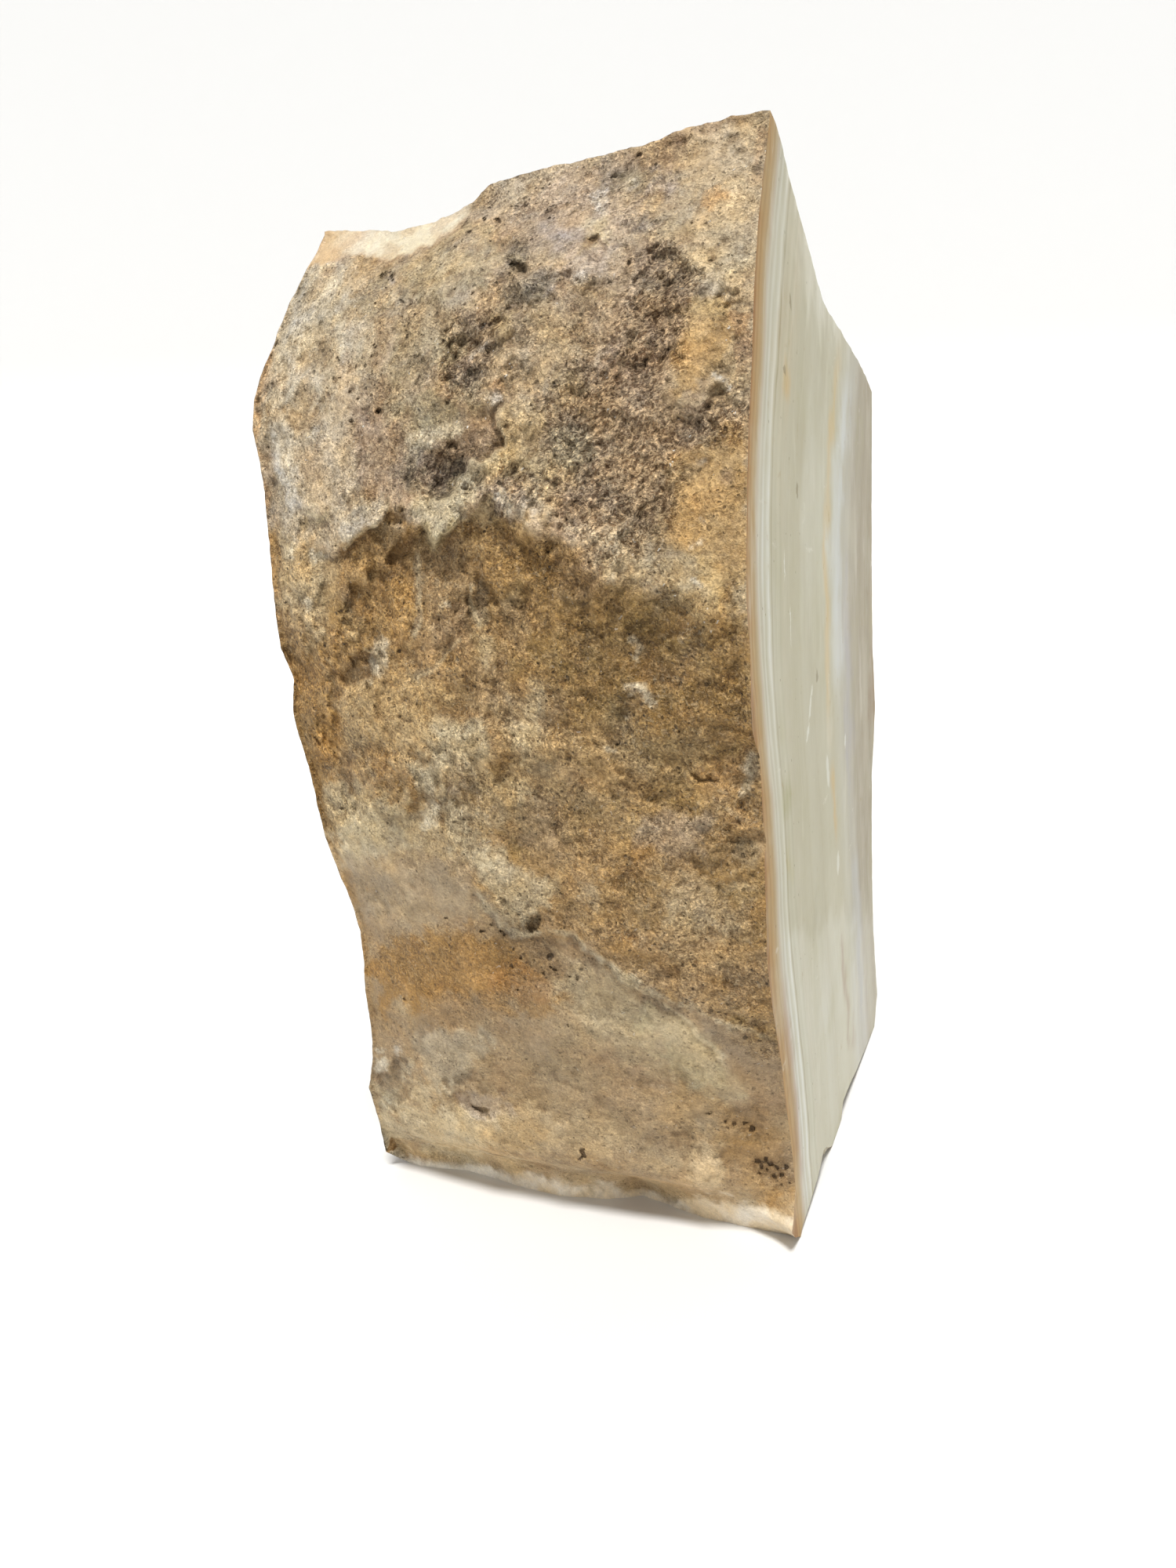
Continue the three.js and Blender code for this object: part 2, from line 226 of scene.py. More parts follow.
def rind_base(u, z):
    """Smooth rind at share u from the saw edge to the left edge and height z; returns x, y."""
    lx, ly = look(LEFT_EDGE, z, 1), look(LEFT_EDGE, z, 2)
    x = lx * u
    slow, edge = trend(SAW_EDGE, z, 1, 9), look(SAW_EDGE, z)
    y = mix(slow, ly, u) + (edge - slow) * np.exp(x / 9) * (1 - u)
    high, low = ease((196 - z) / 22), ease((z + 1) / 14)
    y = y - RIND_BULGE * 4 * u * (1 - u) * high * low
    foot = ease((8 - z) / 13)
    rim = look(BASE_FRONT, x) + (edge - look(BASE_FRONT, 0.0)) * np.exp(x / 7)
    y = np.where(u > 0, mix(y, rim, foot), edge)
    y = np.where(u >= 1, ly, y)
    return x, y


# ------------------------------------------------------------------ placing marks and relief on the rind
# Positions below are in the 1500 x 2000 frame that project() gives; each is one mark.
def turned(px, py, cx, cy, deg):
    a = math.radians(deg)
    dx, dy = px - cx, py - cy
    return dx * math.cos(a) + dy * math.sin(a), -dx * math.sin(a) + dy * math.cos(a)


def oval(px, py, cx, cy, rx, ry, deg=0.0):
    """1 in the middle, 0 at the rim of an oval and beyond."""
    a, b = turned(px, py, cx, cy, deg)
    return np.clip(1 - (a / rx) ** 2 - (b / ry) ** 2, 0, 1)


def line_distance(px, py, points):
    best = np.full(px.shape, 1e9)
    along = np.zeros(px.shape)
    side = np.zeros(px.shape)
    run = 0.0
    for (ax, ay), (bx, by) in zip(points[:-1], points[1:]):
        dx, dy = bx - ax, by - ay
        length = math.hypot(dx, dy)
        t = np.clip(((px - ax) * dx + (py - ay) * dy) / length ** 2, 0, 1)
        d = np.hypot(px - ax - t * dx, py - ay - t * dy)
        near = d < best
        best = np.where(near, d, best)
        along = np.where(near, run + t * length, along)
        side = np.where(near, np.sign((px - ax) * dy - (py - ay) * dx), side)
        run += length
    return best, along / run, side


LEDGE_PX = np.array([[250, 694], [345, 680], [392, 690], [420, 700], [438, 702], [453, 688], [473, 675], [487, 668], [507, 677],
    [525, 680], [540, 674], [548, 687], [557, 693], [572, 678], [585, 652], [600, 642], [625, 638], [650, 660], [690, 678],
    [720, 697], [753, 719], [797, 745], [850, 770], [868, 777], [905, 790], [940, 803], [1000, 816]], float)
CREST_PX = [(646, 508), (638, 520), (634, 533), (637, 542), (639, 552), (642, 562), (642, 572), (635, 579), (628, 587), (623, 591),
    (617, 592), (610, 590), (602, 586), (600, 593), (597, 605), (591, 610), (585, 615), (580, 622), (575, 630), (563, 635), (548, 637)]
# crisp lips, each drawn with its proud side above or to its right
RIMS = [(0.7, CREST_PX), (0.45, [(540, 672), (547, 687), (557, 694), (572, 679), (585, 664), (583, 650), (592, 641)]),
    (0.8, [(428, 698), (438, 703), (453, 689), (473, 676), (487, 668)]), (0.9, [(643, 329), (652, 334), (660, 331), (669, 334)]),
    (0.3, [(614, 1140), (622, 1156), (638, 1177), (654, 1191), (671, 1194)]),
    (0.28, [(709, 1185), (730, 1192), (765, 1222), (815, 1262), (846, 1281), (877, 1305), (908, 1336), (930, 1370)]),
    (0.5, [(533, 704), (536, 750), (534, 790), (528, 812)]), (0.4, [(592, 812), (570, 832), (548, 856), (528, 868)]), (0.5, [(600, 740), (597, 765), (602, 786), (614, 798)]), (0.5, [(462, 828), (478, 838), (474, 860)]), (0.35, [(862, 512), (885, 518), (912, 500), (930, 492)]), (0.7, [(752, 302), (764, 298), (776, 318)])]
RIDGE_PX = [(560, 1100), (605, 1131), (639, 1174), (662, 1188), (695, 1194), (728, 1192), (753, 1214), (792, 1248),
    (838, 1271), (870, 1290), (900, 1304), (945, 1325), (1000, 1345)]

# hollows (depth > 0) and swellings (depth < 0) of the rind: centre, radii, turn, depth in mm, sharpness of the rim
HOLLOWS = [
    (563, 604, 50, 32, -18, 1.5, 0.6), (500, 590, 46, 46, 0, 0.8, 0.9), (608, 562, 30, 26, -20, 0.5, 0.8), (500, 545, 50, 40, 0, 0.6, 0.8),
    (672, 372, 36, 17, 8, 1.3, 0.6), (648, 322, 24, 14, 20, 0.7, 0.7),
    (600, 452, 27, 52, 24, 1.3, 0.6), (850, 352, 36, 26, 0, 1.5, 0.6), (856, 193, 20, 15, 0, 0.9, 0.6),
    (838, 445, 36, 66, 8, 1.1, 0.6), (790, 600, 70, 80, 0, 1.2, 0.9), (735, 335, 30, 20, 0, -0.9, 0.8),
    (642, 560, 34, 62, 12, -1.6, 0.8), (562, 662, 36, 30, -20, -1.3, 0.7), (890, 455, 26, 70, 10, -0.9, 0.8),
    (905, 680, 52, 90, 0, -0.9, 1.0), (948, 412, 14, 18, 0, 0.5, 0.6),
    (518, 700, 20, 13, -40, 1.2, 0.8), (456, 850, 24, 26, 0, 2.0, 0.7), (614, 764, 11, 30, 0, 1.8, 0.5), (478, 768, 20, 100, 30, 1.5, 0.9), (392, 720, 26, 46, 0, -1.3, 0.8), (441, 745, 26, 40, 20, -0.9, 0.8), (398, 762, 10, 12, 0, 0.9, 0.6), (568, 760, 26, 56, 0, -0.6, 0.9), (560, 860, 70, 30, -35, -0.8, 0.9), (640, 830, 14, 70, 10, 0.8, 0.9), (600, 1010, 22, 40, 20, 0.8, 0.8), (420, 905, 10, 60, 4, 0.9, 0.8), (402, 664, 12, 12, 0, 1.0, 0.6),
    (570, 712, 36, 22, 0, 0.7, 0.8), (390, 780, 22, 60, 0, -1.0, 0.9), (500, 1000, 46, 44, 0, -2.0, 0.9),
    (604, 960, 40, 52, 10, -1.2, 0.9), (500, 1005, 18, 14, 0, 0.8, 0.6), (660, 1125, 56, 52, 30, -1.0, 0.9),
    (560, 860, 90, 70, 0, 0.8, 1.0), (760, 860, 110, 100, 0, 1.4, 1.0), (870, 840, 70, 80, 0, 1.1, 1.0),
    (886, 1060, 50, 32, 0, -0.9, 0.8), (902, 987, 22, 6, 8, 1.6, 0.4), (952, 1076, 20, 20, 0, 1.0, 0.6),
    (835, 1110, 60, 50, 0, 0.7, 1.0), (480, 1110, 60, 60, 0, 0.9, 1.0), (860, 1180, 80, 60, 20, -0.9, 1.0),
    (580, 1350, 60, 44, 0, -1.0, 1.0), (600, 1395, 44, 26, 0, 0.7, 0.8),
    (500, 1390, 30, 34, 0, 1.4, 0.8),
    (876, 1340, 56, 28, 34, -0.6, 0.8), (760, 1330, 80, 50, 0, -0.6, 1.0), (670, 1440, 80, 34, 0, -0.7, 1.0),
    (850, 1410, 44, 36, 0, -0.7, 1.0), (900, 1483, 22, 26, 0, -0.8, 0.6), (930, 1432, 38, 16, 10, 0.5, 0.6),
    (984, 1490, 28, 16, 8, 0.7, 0.7), (372, 838, 18, 16, 0, 1.4, 0.6), (470, 300, 60, 26, 0, 1.2, 1.0), (700, 240, 60, 26, -10, -0.8, 1.0),
    (905, 160, 60, 40, -18, 0.8, 1.0), (400, 600, 60, 50, 0, -0.7, 1.0), (395, 465, 18, 24, 0, 0.8, 0.6),
    (390, 513, 16, 26, 0, 0.8, 0.6), (958, 990, 9, 34, 0, 0.9, 0.5), (800, 1060, 60, 60, 0, 0.6, 1.0),
]
# holes with a sharp rim: depth in mm, softness of the rim, outline
CUTS = [
    (2.6, 2.2, [(643, 330), (652, 335), (659, 331), (669, 333), (671, 343), (667, 352), (659, 348), (650, 342)]),
    (1.6, 2.2, [(594, 509), (600, 503), (607, 505), (605, 511), (597, 513)]),
    (1.8, 2.5, [(490, 670), (493, 660), (500, 650), (511, 646), (517, 655), (512, 667), (500, 674)]),
    (1.6, 2.0, [(670, 1184), (673, 1174), (684, 1167), (691, 1172), (687, 1184), (678, 1191)]),
    (1.7, 2.0, [(600, 1408), (612, 1408), (622, 1416), (628, 1428), (620, 1427), (608, 1416)]),
    (1.2, 2.0, [(751, 303), (759, 299), (766, 303), (763, 312), (754, 313)]),
    (1.3, 2.0, [(484, 349), (494, 347), (503, 350), (500, 358), (488, 357)]),
    (1.2, 2.5, [(897, 500), (912, 490), (931, 497), (926, 508), (905, 508)]),
    (1.0, 2.5, [(476, 524), (486, 518), (493, 526), (484, 533)]),
]
# single small pits: x, y, radius
PITS = [
    (626, 1180, 3.8), (616, 1188, 4.8), (638, 1186, 4.2), (644, 1192, 2.8), (703, 1220, 6.4), (708, 1237, 4.4), (702, 1233, 3.0), (736, 1246, 4.0),
    (726, 1246, 3.2), (692, 1244, 3.6), (651, 1232, 3.0), (712, 1272, 2.8), (661, 1262, 2.6), (655, 1209, 2.6), (664, 1222, 2.4), (683, 1226, 2.4),
    (966, 1481, 4.0), (976, 1480, 4.6), (984, 1485, 3.8), (992, 1490, 5.0), (978, 1492, 3.6), (968, 1495, 3.6), (1000, 1498, 4.8), (1004, 1488, 3.6),
    (959, 1476, 2.8), (988, 1501, 3.4), (1008, 1509, 3.2), (996, 1509, 3.2), (972, 1487, 3.0), (959, 1440, 4.6), (936, 1432, 4.4), (916, 1440, 2.8),
    (904, 1421, 2.8), (925, 1431, 2.6), (950, 1434, 2.8), (742, 1468, 5.0), (746, 1474, 4.8), (741, 1478, 3.4), (517, 1274, 3.6), (570, 1171, 3.4),
    (724, 1309, 3.0), (505, 646, 3.8), (513, 650, 3.4), (498, 670, 3.2), (600, 508, 4.0), (572, 513, 3.4), (823, 460, 4.4), (595, 487, 2.6),
    (581, 458, 2.8), (578, 466, 2.4), (770, 586, 2.6), (483, 523, 4.0), (447, 536, 4.4), (432, 458, 3.6), (435, 481, 3.2), (446, 499, 3.4), (457, 510, 3.6),
    (557, 399, 3.2), (546, 389, 3.0), (562, 419, 3.4), (521, 427, 3.2), (565, 434, 2.6), (471, 451, 3.0), (478, 441, 3.4), (479, 462, 3.0),
    (454, 467, 2.8), (478, 387, 2.4), (512, 383, 3.0), (561, 490, 2.4), (596, 489, 2.8), (802, 335, 4.4), (800, 340, 3.4), (632, 257, 3.2), (617, 280, 3.8),
    (637, 282, 3.8), (647, 283, 3.2), (626, 306, 3.0), (600, 295, 4.0), (582, 313, 3.6), (702, 277, 3.0), (754, 213, 2.8), (778, 360, 3.6),
    (785, 372, 3.0), (580, 370, 2.8), (602, 375, 2.6), (670, 263, 2.8), (817, 196, 3.6), (923, 178, 3.0), (892, 237, 2.6), (906, 334, 3.0),
    (883, 284, 2.6), (916, 312, 2.6), (850, 305, 2.8), (904, 519, 2.8), (497, 349, 4.2), (541, 334, 2.6), (430, 388, 2.6), (437, 1031, 2.8),
    (655, 940, 2.4), (792, 949, 2.6), (742, 1010, 2.4), (866, 933, 2.6), (560, 790, 2.6), (640, 700, 2.6), (700, 905, 2.4), (905, 870, 2.8),
]


def inside(poly, x, y):
    hit = np.zeros(len(x), bool)
    for (x0, y0), (x1, y1) in zip(poly, np.roll(poly, -1, 0)):
        cross = ((y0 > y) != (y1 > y)) & (x < (x1 - x0) * (y - y0) / (y1 - y0 + 1e-30) + x0)
        hit ^= cross
    return hit


def outline_distance(px, py, points):
    """Distance to a closed outline, positive inside."""
    d = line_distance(px, py, list(points) + [points[0]])[0]
    return np.where(inside(np.array(points, float), px, py), d, -d)


def rim_field(px, py):
    """Signed distance to the nearest lip in mm, positive on its proud side, and how near it is."""
    best, signed, amount = np.full(px.shape, 1e9), np.full(px.shape, 3.0), np.zeros(px.shape)
    for strength, line in RIMS:
        d, along, side = line_distance(px, py, line)
        d = d + 14 * ease((0.06 - along) / 0.06) + 14 * ease((along - 0.94) / 0.06)
        near = d < best
        best = np.where(near, d, best)
        signed = np.where(near, side * np.minimum(d / 7.0, 3.0), signed)
        amount = np.where(near, strength, amount)
    return signed, amount * np.clip(1.4 - best / 12.0, 0, 1)


def pit_field(px, py):
    """Distance in mm to the edge of the nearest placed pit, negative inside."""
    best = np.full(px.shape, 1.5)
    for x, y, r in PITS:
        best = np.minimum(best, (np.hypot(px - x, py - y) - 0.58 * r) / 7.0)
    return best


def wander(p, px, py):
    """Where a mark is looked up: moved a little by noise, so that no mark keeps a drawn outline."""
    wx = px + 7.5 * unit(fbm(p, 9, 4, 101, 0.6)) + 2.2 * unit(fbm(p, 1.8, 2, 402))
    wy = py + 7.5 * unit(fbm(p, 9, 4, 102, 0.6)) + 2.2 * unit(fbm(p, 1.8, 2, 404))
    tx = px + 2.0 * unit(fbm(p, 4, 3, 130))
    ty = py + 2.0 * unit(fbm(p, 4, 3, 131))
    return wx, wy, tx, ty


def rind_zones(px, py):
    ledge = py - np.interp(px, LEDGE_PX[:, 0], LEDGE_PX[:, 1])
    rx = np.array([300.0, 480.0] + [p[0] for p in RIDGE_PX])
    ry = np.array([1050.0, 1085.0] + [p[1] for p in RIDGE_PX])
    ridge = py - np.interp(px, rx, ry)
    upper = ease(0.5 - ledge / 24)
    lower = ease(0.5 + ridge / 30)
    return ledge, ridge, upper, lower, np.clip(1 - upper - lower, 0, 1)


NEEDLES = [(835, 440, 44, 78, 8), (785, 605, 88, 100, 0), (600, 450, 34, 60, 24), (566, 604, 46, 34, -16),
           (652, 630, 34, 32, 0), (760, 520, 70, 50, 0), (850, 350, 40, 34, 0), (905, 545, 44, 26, -20)]


# calmer, smoother places: centre, radii, turn, amount
CALM = [(906, 660, 56, 96, 0, 0.8), (892, 450, 30, 72, 14, 0.8), (505, 1110, 90, 70, 0, 0.9), (400, 420, 62, 110, 0, 0.5), (392, 585, 50, 74, 0, 0.5),
        (912, 230, 66, 110, 0, 0.6), (660, 1106, 62, 44, 26, 0.6), (866, 1330, 60, 36, 34, 0.6), (720, 300, 60, 40, 0, 0.5), (560, 340, 90, 40, -10, 0.6)]


def calm_mask(px, py):
    m = np.zeros_like(px)
    for cx, cy, rx, ry, deg, amount in CALM:
        m = np.maximum(m, amount * ease(oval(px, py, cx, cy, rx * 1.2, ry * 1.2, deg) * 2.2))
    return m


def needle_mask(px, py):
    m = np.zeros_like(px)
    for cx, cy, rx, ry, deg in NEEDLES:
        m = np.maximum(m, ease(oval(px, py, cx, cy, rx * 1.25, ry * 1.25, deg) * 2))
    return m


def rind_relief(p, px, py, u):
    """Depth change along the line of placing, in mm; positive goes into the stone."""
    wx, wy, tx, ty = wander(p, px, py)
    ledge, ridge, upper, lower, middle = rind_zones(wx, wy)
    ledge = mix(rind_zones(tx, ty)[0], ledge, np.interp(px, [600, 700], [0.3, 1]))
    r = np.zeros_like(px)
    # ledge across the rind, strongest in the middle
    size = np.interp(px, [300, 380, 430, 470, 560, 660, 720, 860, 930, 985], [0.05, 0.12, 0.4, 0.62, 0.85, 0.8, 0.55, 0.34, 0.2, 0.1])
    width = np.interp(px, [300, 480, 560, 600, 700, 800, 985], [14, 16, 18, 30, 52, 64, 60])
    over = -1.5 * np.exp(np.minimum(ledge, 0) / 70)
    under = 3.2 * np.exp(-np.maximum(ledge - width, 0) / 190)
    r += size * mix(over, under, 0.25 * ease((ledge + 4) / 10) + 0.75 * ease((ledge + 4) / width))
    # the golden crest stands proud of the pocket beside it, with a crisp rim
    d, along, side = line_distance(tx, ty, CREST_PX)
    ends = ease(along / 0.14) * ease((1 - along) / 0.10 + 0.15)
    r += ends * mix(2.4 * np.exp(-d / 42), -1.1 * np.exp(-d / 24), ease(0.5 + side * d / 5.0))
    # slanting ridge: the outer crust ends there
    reach = np.interp(px, [540, 600, 640, 700, 900, 985], [0, 0.5, 0.9, 1.0, 0.8, 0.3])
    crease = rind_zones(tx, ty)[1]
    r += reach * mix(-0.40 * np.exp(np.minimum(crease, 0) / 60), 0.85 * np.exp(-np.maximum(crease, 0) / 130), ease((crease + 8) / 20))
    for cx, cy, rx, ry, deg, depth, sharp in HOLLOWS:
        q = oval(wx, wy, cx, cy, rx * 1.15, ry * 1.15, deg)
        r += depth * ease(q) ** sharp
    for depth, soft_, outline in CUTS:
        r += depth * ease(0.5 + (outline_distance(tx, ty, outline) - 1.0) / (2 * soft_))
    jx, jy = px + 1.3 * unit(fbm(p, 1.7, 2, 141)), py + 1.3 * unit(fbm(p, 1.7, 2, 142))
    r += 0.7 * ease(0.5 - pit_field(jx, jy) / 0.5)
    # lips: a small scarp below each
    signed, close = rim_field(tx, ty)
    r += 0.55 * close * np.where(signed < 0, np.exp(signed / 0.9), -0.35 * np.exp(-signed / 0.6))
    # natural unevenness, with calm and wild patches
    needles = needle_mask(wx, wy)
    q = bent(p, 5.0, 2.2, 131)
    wild = np.clip(0.85 + 0.35 * unit(fbm(p, 14, 2, 134)), 0.3, 1.6)
    crag = -unit(ridged(q, 9.0, 5, 104, 0.6))
    knob = unit(fbm(q, 3.4, 3, 105, 0.7))
    soft = unit(fbm(q, 7.0, 5, 106, 0.62))
    grain = unit(fbm(p, 1.9, 2, 107, 0.7))
    r += 0.42 * unit(fbm(p, 22, 2, 103))
    calm = calm_mask(wx, wy)
    wild = wild * (1 - 0.6 * calm)
    # flaking crust: thin scarps that follow no line
    flake = fbm(q, 8.0, 4, 160, 0.6)
    where = ease(0.5 + 0.9 * unit(fbm(p, 11, 2, 164)))
    scarp = ease(0.5 + flake / 0.035) - ease(0.5 + (flake - 0.16) / 0.035)
    scarp2 = ease(0.5 + unit(fbm(bent(p, 3.0, 1.2, 166), 4.2, 3, 168, 0.6)) / 0.30)
    r += (0.85 * upper + 0.7 * middle + 0.25 * lower) * (1 - 0.7 * calm) * where * (0.50 * scarp + 0.30 * scarp2)
    r += upper * wild * (0.31 * crag + 0.13 * soft + 0.12 * knob + 0.09 * grain)
    r += middle * wild * (0.20 * crag + 0.17 * soft + 0.10 * knob + 0.08 * grain)
    r += lower * (0.22 * unit(fbm(q, 12, 4, 108)) + 0.08 * soft + 0.04 * knob + 0.035 * grain)
    lean = np.stack([0.82 * p[:, 0] + 0.57 * p[:, 2], p[:, 1], 1.9 * (0.82 * p[:, 2] - 0.57 * p[:, 0])], -1)
    r += needles * (0.20 * unit(fbm(bent(lean, 4.0, 1.2, 137), 2.3, 2, 110, 0.7)) + 0.10 * grain)
    # scattered pits big enough to be shape
    q = bent(p, 2.2, 1.1, 150)
    for size_, share, depth, reach_, seed in ((2.4, 0.72, 0.65, 0.34, 112), (4.2, 0.82, 0.95, 0.24, 113), (8.0, 0.88, 1.3, 0.15, 114)):
        near, _, ident = cells(q, size_, seed)
        hit = (ident > share) * ease(1.15 - near / reach_) * (0.5 + 0.5 * ease((ident - share) / (1 - share)))
        r += (1.0 * upper + 0.55 * middle + 0.25 * lower) * depth * hit
    return r


BRIM_PX = np.array([(395, 346), (402, 338), (422, 335), (437, 327), (452, 322), (467, 327), (487, 332), (497, 333), (510, 328), (522, 322),
    (535, 315), (548, 313), (555, 307), (562, 299), (577, 295), (587, 288), (595, 280), (612, 262)], float)


def chamfer(p, px, py):
    """How far the stone is broken away above the brim at the top left, in mm."""
    brim = np.interp(px, BRIM_PX[:, 0], BRIM_PX[:, 1])
    d = brim - py
    return ease((606 - px) / 14) * (0.5 * ease(0.5 + d / 5) + 3.4 * ease(d / 44) + 0.12 * unit(fbm(p, 6, 3, 171)) * ease(d / 12))


# ------------------------------------------------------------------ rind mesh
u = np.linspace(0, 1, NU + 1)
t = np.linspace(0, 1, NV + 1)
rim_x = look(LEFT_EDGE, 194.0, 1) * u
rim_z = look(FRONT_RIM, rim_x)
U, T = np.meshgrid(u, t)                       # rows go up
Z = BASE_Z + T * (rim_z[None, :] - BASE_Z)
X, Y = rind_base(U, Z)
base = np.stack([X, Y, Z], -1).reshape(-1, 3)
pix = project(base)
ray = base - EYE
ray /= np.linalg.norm(ray, axis=1)[:, None]
Uf, Tf = U.ravel(), T.ravel()
relief = rind_relief(base, pix[:, 0], pix[:, 1], Uf)
side_fade = ease(Uf / 0.022) * (1 - 0.9 * ease((Uf - 0.985) / 0.015))
fade = side_fade * ease((1 - Tf) / 0.012) * ease(Tf / 0.07)
broken_brim = chamfer(base, pix[:, 0], pix[:, 1])
relief = relief * (1 - 0.85 * ease(broken_brim / 0.5))
smooth = relief.reshape(NV + 1, NU + 1)
relief = (relief + 1.5 * ease((Uf - 0.95) / 0.05) ** 2) * fade + broken_brim      # with a rounded left border
front = base + ray * relief[:, None]
# chipped saw edge and rims, kept in the sawn planes
edge_noise = 0.35 * fbm(base, 3.0, 3, 120) + 0.25 * fbm(base, 9.0, 2, 121)
near, _, ident = cells(base * np.array([0, 0, 1.0]), 6.0, 122)
chip = (ident > 0.6) * 0.9 * ease(1 - near / 0.3)
front[:, 1] += (edge_noise + chip) * np.exp(base[:, 0] / 1.1) * ease(Tf / 0.02)
front[:, 1] += 0.5 * fbm(base, 4.0, 3, 123) * ease(1 - Tf / 0.012)
front[:, 2] += (0.7 * fbm(base, 5.0, 3, 124) + 0.35 * fbm(base, 1.8, 2, 125)) * ease(1 - (1 - Tf) / 0.012)
front[:, 0] += 0.5 * fbm(base, 4.0, 3, 126) * ease(1 - (1 - Uf) / 0.02) * ease(Tf / 0.03)
front[U.ravel() == 0, 0] = 0.0
front[:, 0] = np.minimum(front[:, 0], 0.0)
front[T.ravel() == 0, 2] = BASE_Z
front[:, 2] = np.maximum(front[:, 2], BASE_Z)
grid = np.arange(len(front)).reshape(NV + 1, NU + 1)


def blurred(a, n):
    for axis in (0, 1):
        pad = [(n, n) if k == axis else (0, 0) for k in (0, 1)]
        c = np.cumsum(np.pad(a, pad, mode="edge"), axis=axis)
        c = np.concatenate([np.zeros_like(np.take(c, [0], axis)), c], axis)
        w = 2 * n + 1
        a = (np.take(c, range(w, c.shape[axis]), axis) - np.take(c, range(0, c.shape[axis] - w), axis)) / w
    return a


hollow = smooth - blurred(smooth, 2), smooth - blurred(smooth, 6), smooth - blurred(smooth, 18)
cavity = np.clip(0.5 + 0.75 * hollow[0] + 0.34 * hollow[1] + 0.13 * hollow[2], 0, 1)
cavity = cavity.ravel()

points = [front]
count = len(front)


def add_points(p):
    global count
    points.append(np.asarray(p, float))
    ids = np.arange(count, count + len(p))
    count += len(p)
    return ids


# ------------------------------------------------------------------ the other borders
def wobble(p, amount, seed):
    return amount * np.stack([fbm(p, 7, 3, seed), fbm(p, 7, 3, seed + 1), fbm(p, 7, 3, seed + 2)], -1)


front_right, front_left = grid[:, 0], grid[:, -1]
front_top, front_low = grid[-1], grid[0]
P_fr, P_fl, P_ft, P_fb = front[front_right], front[front_left], front[front_top], front[front_low]

corner_bl_top = np.array([look(BACK_EDGE, 176.0, 1), look(BACK_EDGE, 176.0, 2), 0.0])
corner_bl_top[2] = top_height(corner_bl_top[0], corner_bl_top[1])
corner_br_top = np.array([0.0, look(FAR_EDGE, 174.5), 174.5])

nb = 100                                       # back-left column, hidden edge
zb = np.linspace(BASE_Z, corner_bl_top[2], nb + 1)
P_bl = np.stack([look(BACK_EDGE, zb, 1), look(BACK_EDGE, zb, 2), zb], -1)
f = ease(np.minimum(np.linspace(0, 1, nb + 1), 1 - np.linspace(0, 1, nb + 1)) / 0.03)[:, None]
P_bl = P_bl + wobble(P_bl, 2.4, 201) * f * np.array([1, 1, 0])

nr = 190                                       # far edge of the sawn side
zr = np.linspace(BASE_Z, corner_br_top[2], nr + 1)
P_br = np.stack([np.zeros(nr + 1), look(FAR_EDGE, zr), zr], -1)
f = ease(np.minimum(np.linspace(0, 1, nr + 1), 1 - np.linspace(0, 1, nr + 1)) / 0.02)[:, None]
P_br = P_br + (wobble(P_br, 1.2, 205) + 0.5 * wobble(P_br * 3, 1.0, 209)) * f * np.array([0, 1, 0])
P_br[:, 1] = np.minimum(P_br[:, 1], 131.9)

nt = 150                                       # top edge of the sawn side
yt = np.linspace(P_fr[-1, 1], corner_br_top[1], nt + 1)
P_rt = np.stack([np.zeros(nt + 1), yt, look(SAW_TOP, yt)], -1)
f = ease(np.minimum(np.linspace(0, 1, nt + 1), 1 - np.linspace(0, 1, nt + 1)) / 0.04)[:, None]
P_rt = P_rt + (wobble(P_rt, 1.0, 211) + 0.4 * wobble(P_rt * 3, 1.0, 215)) * f * np.array([0, 0, 1])
P_rt[0], P_rt[-1] = P_fr[-1], corner_br_top

nl = 66                                        # rims of the left break
s = np.linspace(0, 1, nl + 1)
P_lt = mix(P_fl[-1][None], corner_bl_top[None], s[:, None])
P_lt[:, 2] = mix(P_fl[-1, 2] - top_height(P_fl[-1, 0], P_fl[-1, 1]), 0, s) + top_height(P_lt[:, 0], P_lt[:, 1])
f = ease(np.minimum(s, 1 - s) / 0.06)[:, None]
P_lt = P_lt + wobble(P_lt, 3.0, 221) * f
P_lb = mix(P_fl[0][None], P_bl[0][None], s[:, None])
P_lb = P_lb + wobble(P_lb, 2.2, 225) * f * np.array([1, 1, 0])
P_lb[:, 2] = BASE_Z

nk = 50                                        # rims of the back break
s = np.linspace(0, 1, nk + 1)
P_kt = mix(corner_bl_top[None], corner_br_top[None], s[:, None])
P_kt[:, 2] = top_height(P_kt[:, 0], P_kt[:, 1]) + mix(0, corner_br_top[2] - top_height(0.0, corner_br_top[1]), s)
f = ease(np.minimum(s, 1 - s) / 0.08)[:, None]
P_kt = P_kt + wobble(P_kt, 2.6, 231) * f
P_kb = mix(P_bl[0][None], P_br[0][None], s[:, None])
P_kb[:, 1] += 2.0 * np.sin(np.pi * s)
P_kb = P_kb + wobble(P_kb, 2.2, 235) * f * np.array([1, 1, 0])
P_kb[:, 2] = BASE_Z

